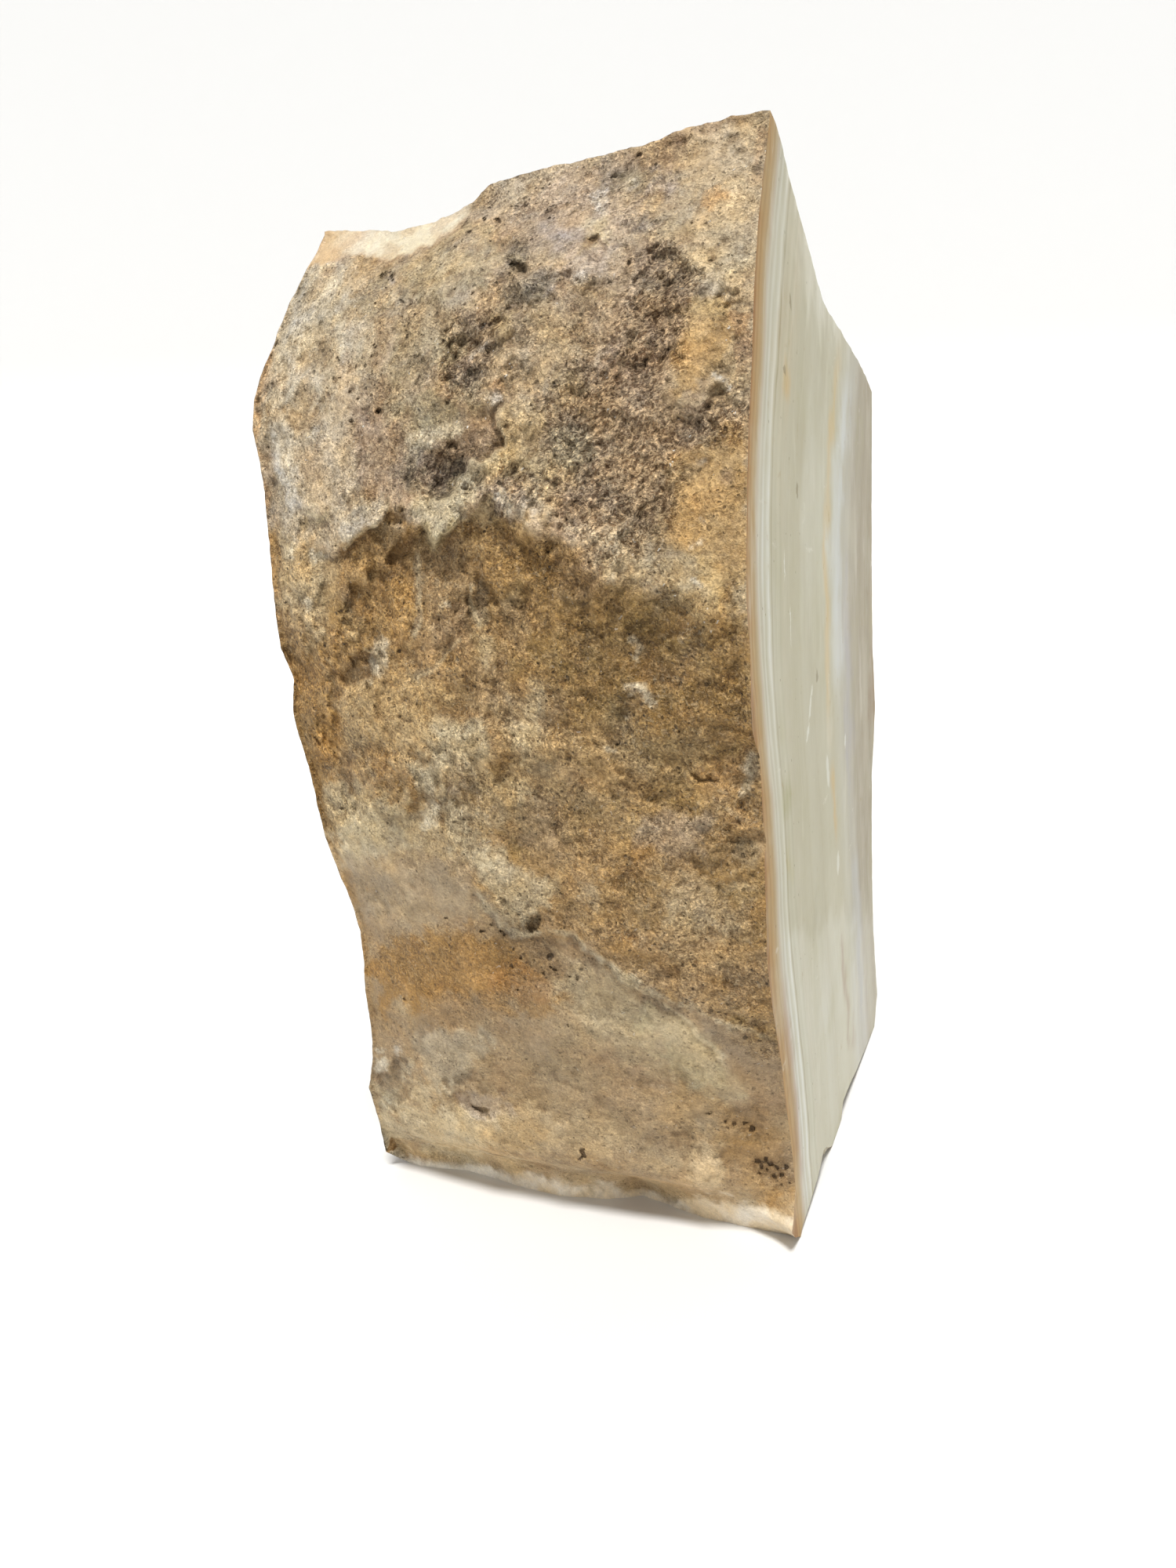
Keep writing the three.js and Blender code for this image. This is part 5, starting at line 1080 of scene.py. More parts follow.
def growth(p):
    x, y, z = p[:, 0], p[:, 1], p[:, 2]
    share = np.clip(-x / 96.0, 0, 1)
    near_saw = trend(SAW_EDGE, z, 1, 10)
    surface = mix(near_saw, trend(LEFT_EDGE, z, 2, 10), share) - RIND_BULGE * 4 * share * (1 - share)
    d = y - surface
    d = d * mix(np.interp(z, [14, 43, 71, 100, 127, 150, 175], [1.0, 0.80, 0.80, 1.05, 1.25, 1.05, 0.9]), 1.0, ease(d / 26))
    deep = y + 29 - look(DEEP_BOW, z) - 9.0 * share
    return mix(d, deep, ease(d / 60))


# tints of the sawn side, placed like the marks of the rind: colour, strength, edge, ovals
SAWN_OVALS = [
    ((178, 167, 141), 0.5, (1003, 420, 16, 240, 4)), ((180, 152, 100), 0.7, (1003, 487, 7, 18, 0)), ((164, 150, 122), 0.4, (1000, 385, 9, 60, 6)),
    ((186, 184, 168), 0.6, (1038, 660, 17, 190, 0)), ((150, 145, 106), 0.75, (1004, 1015, 7, 38, 0)), ((156, 150, 114), 0.4, (998, 935, 5, 20, 0)),
    ((168, 157, 112), 0.5, (1005, 1100, 6, 20, 0)), ((150, 122, 96), 0.6, (1110, 880, 4, 60, 0)), ((146, 136, 102), 0.55, (1107, 1012, 6, 34, 0)),
    ((156, 150, 128), 0.45, (1040, 1172, 8, 34, 0)), ((206, 203, 190), 0.7, (1044, 330, 30, 110, -8)), ((184, 181, 166), 0.5, (985, 820, 8, 120, -3)), ((186, 184, 170), 0.5, (978, 620, 8, 140, 2)),
    ((160, 152, 128), 0.4, (1022, 560, 6, 60, 0)), ((190, 188, 176), 0.6, (1052, 1290, 20, 70, 10)),
]
SAWN_LINES = [
    ((190, 164, 112), 0.55, 4.5, [(1072, 428), (1067, 480), (1061, 546), (1057, 615), (1053.6, 705), (1055.5, 785), (1057, 880), (1059, 950)]),
    ((188, 158, 104), 0.55, 3, [(1061, 960), (1063, 1000), (1066, 1070)]), ((187, 188, 180), 0.75, 9, [(1084, 455), (1076, 520), (1068, 600), (1065, 680), (1066, 760), (1068, 900)]),
    ((162, 158, 152), 0.7, 6, [(1082, 700), (1081, 800), (1082, 900), (1084, 1010)]), ((162, 146, 128), 0.75, 6, [(1000, 1230), (1005, 1330), (1012, 1400), (1021, 1500)]),
    ((158, 140, 122), 0.7, 4, [(1072, 1205), (1080, 1270), (1088, 1335)]), ((176, 176, 168), 0.5, 5, [(1092, 1080), (1094, 1180), (1098, 1300)]),
]
SAWN_PATCHES = [
    ((158, 149, 130), 0.55, 6, [(1094, 470), (1120, 500), (1116, 740), (1114, 1100), (1108, 1150), (1094, 1160), (1088, 1060), (1088, 900), (1086, 740), (1086, 600), (1090, 520)]),
    # painted reflection: the lower part of the sawn side made paler and greyer, as the pale floor shows in it
    ((188, 185, 170), 0.75, 12, [(1000, 1196), (1060, 1176), (1118, 1172), (1125, 1290), (1015, 1575), (1006, 1400), (1002, 1290)]),
]
# bright flakes in the sawn side: from, to, half width in mm
SAWN_FLAKES = [((1036, 876), (1032, 918), 1.0), ((1055, 970), (1057, 996), 1.8), ((1069, 1094), (1069, 1106), 2.0), ((1078, 941), (1078, 949), 1.4), ((1008, 770), (1009, 822), 0.5),
               ((1032, 926), (1029, 944), 0.8), ((1000, 700), (1001, 740), 0.4)]
SAWN_NICKS = [((1008, 378), (1009, 392), 0.9), ((1042, 860), (1042, 863), 1.2), ((1017, 622), (1017, 626), 1.2), ((1000, 470), (1001, 476), 0.8)]


def on_sawn_plane(px, py):
    """Work-frame y, z where a place of the frame falls on the sawn plane."""
    d = AHEAD + RIGHT * (px - MID[0]) / FOCAL - UP * (py - MID[1]) / FOCAL
    q = EYE - d * EYE[0] / d[0]
    return float(q[1]), float(q[2])


def sawn_tint(p):
    px, py = project(p).T
    px = px + 1.6 * unit(fbm(p, 14, 3, 701))
    py = py + 8 * unit(fbm(p, 14, 3, 702))
    plain = linear((172, 167, 146))
    out = np.ones((len(p), 3))
    rag = unit(fbm(p * np.array([1, 1, 0.35]), 6, 4, 703, 0.6))
    for colour, strength, (cx, cy, rx, ry, deg) in SAWN_OVALS:
        a, b = turned(px, py, cx, cy, deg)
        m = strength * ease(1.25 - np.hypot(a / rx, b / ry) + 0.18 * rag)
        out = mix(out, linear(colour) / plain, m[:, None])
    for colour, strength, soft_, outline in SAWN_PATCHES:
        m = strength * ease(0.5 + (outline_distance(px, py, outline) + 1.5 * rag) / (2 * soft_))
        out = mix(out, linear(colour) / plain, m[:, None])
    for colour, strength, half, pts in SAWN_LINES:
        d, along, _ = line_distance(px, py, pts)
        m = strength * ease(1.2 - d / half + 0.15 * rag) * ease(np.minimum(along, 1 - along) / 0.18 + 0.1)
        out = mix(out, linear(colour) / plain, m[:, None])
    return out


grow = growth(all_points)

# ------------------------------------------------------------------ mesh
mesh = bpy.data.meshes.new("onyx_rock")
mesh.vertices.add(len(all_points))
mesh.vertices.foreach_set("co", to_part(all_points).astype(np.float32).ravel())
mesh.loops.add(len(tri) * 3)
mesh.loops.foreach_set("vertex_index", tri.astype(np.int32).ravel())
mesh.polygons.add(len(tri))
mesh.polygons.foreach_set("loop_start", np.arange(0, len(tri) * 3, 3, dtype=np.int32))
mesh.polygons.foreach_set("material_index", kind.astype(np.int32))
mesh.update(calc_edges=True)
mesh.validate()
mesh.polygons.foreach_set("use_smooth", np.ones(len(tri), bool))
pair_set = set()
for loop in sharp_pairs:
    for i, j in zip(loop, np.roll(loop, -1)):
        pair_set.add((min(i, j), max(i, j)))
ev = np.zeros(len(mesh.edges) * 2, np.int32)
mesh.edges.foreach_get("vertices", ev)
ev = np.sort(ev.reshape(-1, 2), 1)
is_sharp = np.array([(int(i), int(j)) in pair_set for i, j in ev])
att = mesh.attributes.new("sharp_edge", "BOOLEAN", "EDGE")
att.data.foreach_set("value", is_sharp)


def attribute(name, values, rest=0.0):
    full = np.full(len(all_points), rest, np.float32)
    full[: len(values)] = values
    mesh.attributes.new(name, "FLOAT", "POINT").data.foreach_set("value", full)


attribute("cavity", cavity, 0.5)
attribute("grit", grit, 0.5)
attribute("needles", needles)
attribute("clean", clean)
attribute("upper", z_up)
attribute("lower", z_low)
attribute("lip", lip, 3.0)
attribute("lip_near", lip_near)
attribute("pit", pit, 1.5)
attribute("grow", grow.astype(np.float32))
rgba = np.ones((len(all_points), 4), np.float32)
rgba[: len(paint), :3] = paint
mesh.attributes.new("paint", "FLOAT_COLOR", "POINT").data.foreach_set("color", rgba.ravel())
rgba = np.ones((len(all_points), 4), np.float32)
on_side = all_points[:, 0] > -0.01
rgba[on_side, :3] = sawn_tint(all_points[on_side])
mesh.attributes.new("tint", "FLOAT_COLOR", "POINT").data.foreach_set("color", rgba.ravel())
rock = bpy.data.objects.new("onyx_rock", mesh)
bpy.context.scene.collection.objects.link(rock)


# ------------------------------------------------------------------ materials
class Graph:
    """Small helper: g.math("ADD", a, b) and so on add a node and return its output."""

    def __init__(self, name):
        self.mat = bpy.data.materials.new(name)
        self.mat.use_nodes = True
        self.t = self.mat.node_tree
        self.t.nodes.clear()

    def node(self, kind, ins=(), **props):
        n = self.t.nodes.new(kind)
        for k, v in props.items():
            setattr(n, k, v)
        for k, v in dict(ins).items():
            self.set(n.inputs[k], v)
        return n

    def set(self, socket, v):
        if isinstance(v, bpy.types.NodeSocket):
            self.t.links.new(v, socket)
        elif isinstance(v, (tuple, list)) and len(v) == 3 and socket.type == "RGBA":
            socket.default_value = (*v, 1.0)
        else:
            socket.default_value = v

    def math(self, op, a, b=0.0, c=0.0, clamp=False):
        return self.node("ShaderNodeMath", {0: a, 1: b, 2: c}, operation=op, use_clamp=clamp).outputs[0]

    def add(self, a, b):
        return self.math("ADD", a, b)

    def mul(self, a, b):
        return self.math("MULTIPLY", a, b)

    def attr(self, name, out="Fac"):
        return self.node("ShaderNodeAttribute", attribute_name=name).outputs[out]

    def vec(self, op, a, b=(0, 0, 0), scale=1.0, out=0):
        n = self.node("ShaderNodeVectorMath", operation=op)
        self.set(n.inputs[0], a)
        if op == "SCALE":
            self.set(n.inputs["Scale"], scale)
        else:
            self.set(n.inputs[1], b)
        return n.outputs[out]

    def noise(self, v, scale, detail=3.0, rough=0.5, distortion=0.0, out=0, **props):
        n = self.node("ShaderNodeTexNoise", {"Vector": v, "Scale": scale, "Detail": detail, "Roughness": rough,
                                             "Distortion": distortion}, **props)
        return n.outputs[out]

    def voronoi(self, v, scale, out="Distance", rand=1.0, **props):
        return self.node("ShaderNodeTexVoronoi", {"Vector": v, "Scale": scale, "Randomness": rand}, **props).outputs[out]

    def ramp(self, v, lo, hi, a=0.0, b=1.0, smooth=True):
        n = self.node("ShaderNodeMapRange", {"Value": v, "From Min": lo, "From Max": hi, "To Min": a, "To Max": b},
                      interpolation_type="SMOOTHSTEP" if smooth else "LINEAR")
        n.clamp = True
        return n.outputs[0]

    def mix(self, f, a, b, blend="MIX"):
        n = self.node("ShaderNodeMix", data_type="RGBA", blend_type=blend, clamp_factor=True)
        self.set(n.inputs[0], f)
        self.set(n.inputs[6], a)
        self.set(n.inputs[7], b)
        return n.outputs[2]

    def colours(self, v, stops):
        n = self.node("ShaderNodeValToRGB", {"Fac": v})
        e = n.color_ramp.elements
        while len(e) > 1:
            e.remove(e[-1])
        e[0].position, e[0].color = stops[0][0], (*linear(stops[0][1]), 1)
        for pos, rgb in stops[1:]:
            s = e.new(pos)
            s.color = (*linear(rgb), 1)
        return n.outputs[0]

    def place(self):
        """Object position in mm."""
        return self.vec("SCALE", self.node("ShaderNodeTexCoord").outputs["Object"], scale=1000.0)

    def bump(self, height, normal=None, strength=1.0, distance=0.001):
        ins = {"Height": height, "Strength": strength, "Distance": distance}
        if normal is not None:
            ins["Normal"] = normal
        return self.node("ShaderNodeBump", ins).outputs[0]


def rgb(name):
    return tuple(float(v) for v in linear(PALETTE[name] if isinstance(name, str) else name))


def rind_material():
    g = Graph("onyx_rind")
    p = g.place()
    grit_, needle_, clean_ = g.attr("grit"), g.attr("needles"), g.attr("clean")
    up_ = g.attr("upper")
    col = g.attr("paint", "Color")

    def times(a, by):
        return g.mix(1.0, a, by, "MULTIPLY")

    # crumbs of half a millimetre on a softer unevenness
    warp = g.vec("SCALE", g.vec("SUBTRACT", g.noise(p, 0.7, 2, 0.5, out=1), (0.5, 0.5, 0.5)), scale=0.9)
    q = g.vec("ADD", p, warp)
    n_mid = g.noise(q, 0.38, 3, 0.55)
    crumb = g.noise(q, 1.35, 3, 0.60, 0.4)
    speck = g.noise(p, 2.3, 2, 0.6, 0.3)
    # slanting grain of the needle patches
    bend = g.vec("SCALE", g.vec("SUBTRACT", g.noise(p, 0.14, 2, 0.5, out=1), (0.5, 0.5, 0.5)), scale=3.0)
    slant = g.node("ShaderNodeMapping", {"Vector": g.vec("ADD", q, bend), "Rotation": (0.0, -0.62, 0.0), "Scale": (1.1, 0.5, 0.5)},
                   vector_type="TEXTURE").outputs[0]
    needle = g.math("MULTIPLY_ADD", crumb, 0.35, g.mul(g.noise(slant, 1.0, 3, 0.62, 0.3), 0.72))
    # round dark pits, of many sizes and thinner or thicker on the ground
    crowd = g.ramp(g.noise(p, 0.12, 3, 0.6), 0.36, 0.66, 0.12, 0.80)

    def pits_of(scale, lo, hi):
        v = g.node("ShaderNodeTexVoronoi", {"Vector": q, "Scale": scale})
        rnd = g.node("ShaderNodeSeparateColor", {"Color": v.outputs["Color"]}).outputs
        size = g.math("MULTIPLY_ADD", g.mul(rnd[0], rnd[0]), hi - lo, lo)
        hole = g.ramp(g.math("DIVIDE", v.outputs["Distance"], size), 1.0, 0.55)
        return g.mul(hole, g.math("LESS_THAN", rnd[1], crowd))

    pits = g.math("MAXIMUM", pits_of(0.55, 0.14, 0.28), g.mul(pits_of(1.0, 0.17, 0.32), 0.85))
    pits = g.mul(pits, g.mul(g.add(0.30, g.mul(grit_, 0.70)), g.math("SUBTRACT", 1.0, g.mul(clean_, 0.75))))
    # placed pits and lips, from their distance fields
    frayed = g.mul(g.add(crumb, -0.5), 0.5)
    placed = g.ramp(g.add(g.attr("pit"), frayed), 0.16, -0.06)
    lip_ = g.math("MULTIPLY_ADD", frayed, 1.2, g.attr("lip"))
    near_ = g.attr("lip_near")
    proud = g.mul(g.mul(g.ramp(lip_, 0.0, 0.10), g.ramp(lip_, 0.9, 0.45)), near_)
    lip_shade = g.mul(g.mul(g.ramp(lip_, 0.0, -0.10), g.ramp(lip_, -1.1, -0.4)), near_)
    # colour: painted shade between the crumbs and painted highlight on them
    rough_ = g.math("MULTIPLY_ADD", grit_, 0.85, 0.12)
    col = g.mix(g.mul(g.ramp(n_mid, 0.52, 0.70), 0.24), col, times(col, (0.68, 0.63, 0.56)))
    col = g.mix(g.mul(g.ramp(n_mid, 0.48, 0.30), 0.22), col, times(col, (1.24, 1.23, 1.20)))
    col = g.mix(g.mul(g.ramp(crumb, 0.535, 0.60), g.mul(rough_, 0.74)), col, g.mix(0.16, times(col, (1.40, 1.36, 1.28)), rgb("pale")))
    col = g.mix(g.mul(g.ramp(crumb, 0.46, 0.39), g.mul(rough_, 0.62)), col, times(col, (0.47, 0.40, 0.32)))
    # painted highlight on the raised needle grain, then painted shade between it
    col = g.mix(g.mul(g.ramp(needle, 0.555, 0.605), g.mul(needle_, 0.92)), col, g.mix(0.22, times(col, (1.70, 1.62, 1.50)), rgb((214, 194, 166))))
    col = g.mix(g.mul(g.ramp(needle, 0.515, 0.46), g.mul(needle_, 0.85)), col, times(col, (0.50, 0.40, 0.30)))
    # specks: partly grain colour, partly painted highlight on the raised specks and painted shade on the sunken ones
    col = g.mix(g.mul(g.ramp(speck, 0.54, 0.60), g.mul(rough_, 0.74)), col, times(col, (1.54, 1.50, 1.41)))
    col = g.mix(g.mul(g.ramp(speck, 0.46, 0.40), g.mul(rough_, 0.58)), col, times(col, (0.52, 0.46, 0.38)))
    col = g.mix(g.mul(pits, 0.88), col, times(col, (0.24, 0.21, 0.15)))
    col = g.mix(g.mul(placed, 0.80), col, times(col, (0.24, 0.20, 0.15)))
    # pale lip line: pale crust, with painted highlight where light meets its edge
    col = g.mix(g.mul(proud, 0.50), col, rgb((208, 188, 150)))
    # painted shadow beneath each lip
    col = g.mix(g.mul(lip_shade, 0.60), col, times(col, (0.48, 0.42, 0.35)))
    # flakes of crust: crisp, pale and raised
    flaky = g.noise(q, 0.72, 4, 0.70, 0.5)
    flakes = g.mul(g.mul(g.ramp(flaky, 0.572, 0.602), g.ramp(g.noise(p, 0.085, 3, 0.6), 0.40, 0.56)), grit_)
    col = g.mix(g.mul(flakes, 0.60), col, g.mix(0.30, times(col, (1.36, 1.33, 1.27)), rgb("pale")))
    gaps = g.mul(g.mul(g.ramp(flaky, 0.430, 0.405), g.ramp(g.noise(p, 0.075, 3, 0.6), 0.44, 0.58)), grit_)
    col = g.mix(g.mul(gaps, 0.34), col, times(col, (0.56, 0.49, 0.40)))
    # crystal glints: few, small and curved
    wave = g.vec("SCALE", g.noise(p, 0.9, 1, 0.5, out=1), scale=1.7)
    spark_at = g.node("ShaderNodeMapping", {"Vector": g.vec("ADD", p, wave), "Rotation": (0.0, -0.8, 0.2), "Scale": (1.5, 0.7, 0.7)},
                      vector_type="TEXTURE").outputs[0]
    v = g.node("ShaderNodeTexVoronoi", {"Vector": spark_at, "Scale": 0.85})
    rare = g.math("GREATER_THAN", g.node("ShaderNodeSeparateColor", {"Color": v.outputs["Color"]}).outputs[0], 0.84)
    where = g.mul(g.ramp(g.noise(p, 0.10, 3, 0.6), 0.50, 0.60), g.math("MULTIPLY_ADD", up_, 0.7, 0.3))
    spark = g.mul(g.mul(g.ramp(v.outputs["Distance"], 0.24, 0.12), rare), where)
    col = g.mix(g.mul(spark, 0.85), col, rgb((236, 230, 218)))
    # relief in mm
    h = g.mul(g.add(n_mid, -0.5), g.math("MULTIPLY_ADD", grit_, 0.50, 0.20))
    h = g.math("MULTIPLY_ADD", g.add(crumb, -0.5), g.math("MULTIPLY_ADD", grit_, 0.95, 0.10), h)
    h = g.math("MULTIPLY_ADD", g.add(speck, -0.5), g.math("MULTIPLY_ADD", grit_, 0.36, 0.05), h)
    h = g.math("MULTIPLY_ADD", g.add(needle, -0.535), g.mul(needle_, 1.9), h)
    h = g.math("MULTIPLY_ADD", pits, -0.40, h)
    h = g.math("MULTIPLY_ADD", placed, -0.50, h)
    h = g.math("MULTIPLY_ADD", spark, 0.15, h)
    h = g.math("MULTIPLY_ADD", flakes, 0.26, g.math("MULTIPLY_ADD", gaps, -0.26, h))
    normal = g.bump(h)
    rough = g.math("MULTIPLY_ADD", g.add(crumb, -0.5), 0.5, g.math("MULTIPLY_ADD", clean_, -0.18, 0.58))
    rough = g.math("MULTIPLY_ADD", spark, -0.3, rough)
    bsdf = g.node("ShaderNodeBsdfPrincipled", {"Base Color": col, "Roughness": rough, "Normal": normal,
                                               "Specular IOR Level": 0.34, "IOR": 1.5})
    g.node("ShaderNodeOutputMaterial", {"Surface": bsdf.outputs[0]})
    return g.mat


# bands as (depth below the rind in mm, colour)
BANDS_NEAR = [(0, (140, 100, 54)), (1.2, (162, 128, 80)), (2.4, (150, 118, 72)), (3.6, (164, 136, 92)), (5.2, (155, 130, 90)),
    (6.6, (166, 149, 118)), (8.2, (172, 160, 140)), (9.4, (182, 178, 162)), (10.6, (168, 162, 142)), (12.0, (186, 184, 171)), (13.2, (170, 166, 144)),
    (14.6, (178, 175, 157)), (16.0, (192, 190, 177)), (17.2, (170, 166, 144)), (18.2, (150, 143, 118)), (19.0, (172, 168, 147)),
    (21.0, (168, 164, 142)), (23.0, (175, 171, 151)), (24.6, (166, 162, 139)), (26.0, (172, 167, 146))]
BANDS_DEEP = [(26, (172, 167, 146)), (36, (168, 163, 140)), (46, (174, 170, 150)), (56, (168, 163, 141)), (66, (174, 170, 149)),
    (78, (172, 167, 145)), (88, (174, 171, 155)), (98, (166, 162, 148)), (104, (170, 166, 152)), (109, (158, 151, 133)), (116, (163, 157, 138)), (124, (156, 148, 128)),
    (132, (162, 155, 135)), (139, (152, 144, 122)), (146, (158, 149, 126)), (152, (140, 120, 92)), (160, (124, 99, 68)), (170, (130, 104, 73))]

def band_colour(g, p, wander=1.0):
    w = g.attr("grow")
    slow = g.noise(p, 0.022, 3, 0.5)
    stretched = g.node("ShaderNodeMapping", {"Vector": p, "Scale": (0.10, 0.30, 0.05)}).outputs[0]
    small = g.noise(stretched, 1.0, 3, 0.55)
    w = g.add(w, g.mul(g.add(slow, -0.5), 6.0 * wander))
    w = g.add(w, g.mul(g.add(small, -0.5), 2.0 * wander))
    near = g.colours(g.ramp(w, 0, 26, smooth=False), [(d / 26.0, c) for d, c in BANDS_NEAR])
    deep = g.colours(g.ramp(w, 26, 170, smooth=False), [((d - 26) / 144.0, c) for d, c in BANDS_DEEP])
    col = g.mix(g.ramp(w, 25.5, 26.5), near, deep)
    # hair-fine lines along the layers, clearest near the rind
    line_at = g.node("ShaderNodeCombineXYZ", {"X": w, "Y": g.mul(g.node("ShaderNodeSeparateXYZ", {"Vector": p}).outputs["Z"], 0.012)}).outputs[0]
    fine = g.noise(line_at, 1.1, 3, 0.7)
    broad = g.noise(line_at, 0.20, 2, 0.5)
    lines = g.ramp(w, 46.0, 10.0, 0.62, 1.0)
    col = g.mix(g.mul(g.ramp(fine, 0.55, 0.72), g.mul(lines, 0.32)), col, rgb((202, 198, 182)))
    col = g.mix(g.mul(g.ramp(fine, 0.44, 0.30), g.mul(lines, 0.32)), col, g.mix(1.0, col, (0.80, 0.76, 0.66), "MULTIPLY"))
    col = g.mix(g.mul(g.ramp(broad, 0.52, 0.72), 0.22), col, g.mix(1.0, col, (0.88, 0.83, 0.70), "MULTIPLY"))
    return col, w, fine


def sawn_material(name, rough, specular, dull):
    g = Graph(name)
    p = g.place()
    col, w, fine = band_colour(g, p)
    col = g.mix(1.0, col, g.attr("tint", "Color"), "MULTIPLY")
    cloud = g.noise(p, 0.045, 4, 0.55)
    col = g.mix(g.mul(g.ramp(cloud, 0.48, 0.72), 0.30), col, rgb((186, 182, 164)))
    col = g.mix(g.mul(g.ramp(cloud, 0.50, 0.28), 0.30), col, rgb((160, 155, 122)))
    # clear and milky stone in soft smears along the layers
    smear = g.node("ShaderNodeMapping", {"Vector": p, "Scale": (0.12, 0.12, 0.035)}).outputs[0]
    milky = g.noise(smear, 1.0, 4, 0.6)
    col = g.mix(g.mul(g.ramp(milky, 0.54, 0.74), 0.35), col, rgb((198, 195, 182)))
    # small stains and nicks
    grime = g.noise(p, 0.35, 4, 0.6)
    stain_and_shade = g.mul(g.ramp(grime, 0.60, 0.74), g.ramp(g.noise(p, 0.05, 2, 0.5), 0.46, 0.60))
    col = g.mix(g.mul(stain_and_shade, 0.30), col, rgb((150, 126, 84)))
    nick = g.mul(g.ramp(g.voronoi(p, 0.24), 0.075, 0.045), g.ramp(w, 60.0, 30.0))
    col = g.mix(g.mul(nick, 0.5), col, rgb((112, 100, 74)))
    flake = g.node("ShaderNodeMapping", {"Vector": p, "Scale": (0.10, 0.055, 0.16)}).outputs[0]
    white = g.mul(g.ramp(g.noise(flake, 1.0, 4, 0.65), 0.66, 0.74), 0.25)
    col = g.mix(white, col, rgb((218, 216, 206)))
    # placed flakes and nicks
    q = g.vec("ADD", p, g.vec("SCALE", g.vec("SUBTRACT", g.noise(p, 0.5, 3, 0.6, out=1), (0.5, 0.5, 0.5)), scale=3.0))
    at = g.node("ShaderNodeSeparateXYZ", {"Vector": q}).outputs
    for places, tone, strength in ((SAWN_FLAKES, (206, 206, 198), 0.6), (SAWN_NICKS, (120, 108, 82), 0.6)):
        found = None
        for first, last, half in places:
            (y0, z0), (y1, z1) = on_sawn_plane(*first), on_sawn_plane(*last)
            cy, cz = 0.5 * (y0 + y1) + SHIFT[1], 0.5 * (z0 + z1) + SHIFT[2]
            length = 0.5 * math.hypot(y1 - y0, z1 - z0) + half
            ty, tz = (y1 - y0) / (2 * (length - half) + 1e-6), (z1 - z0) / (2 * (length - half) + 1e-6)
            dy, dz = g.add(at["Y"], -cy), g.add(at["Z"], -cz)
            a = g.mul(g.add(g.mul(dy, ty), g.mul(dz, tz)), 1.0 / length)
            b = g.mul(g.math("SUBTRACT", g.mul(dz, ty), g.mul(dy, tz)), 1.0 / half)
            spot = g.ramp(g.add(g.mul(a, a), g.mul(b, b)), 1.2, 0.35)
            found = spot if found is None else g.math("MAXIMUM", found, spot)
        col = g.mix(g.mul(found, strength), col, rgb(tone))
    col = g.mix(1.0, col, (1.19, 1.185, 1.165), "MULTIPLY")
    h = g.math("MULTIPLY_ADD", g.add(g.noise(p, 0.9, 3, 0.6), -0.5), 0.012 + 0.03 * dull, g.mul(g.add(g.noise(p, 0.07, 2, 0.5), -0.5), 0.12))
    h = g.math("MULTIPLY_ADD", nick, -0.15, h)
    bsdf = g.node("ShaderNodeBsdfPrincipled", {
        "Base Color": col, "Roughness": g.add(rough, g.mul(g.add(grime, -0.5), 0.14)), "Normal": g.bump(h),
        "IOR": 1.52, "Specular IOR Level": specular, "Subsurface Weight": 0.20,
        "Subsurface Radius": (1.0, 0.8, 0.5), "Subsurface Scale": 0.0008})
    g.node("ShaderNodeOutputMaterial", {"Surface": bsdf.outputs[0]})
    return g.mat


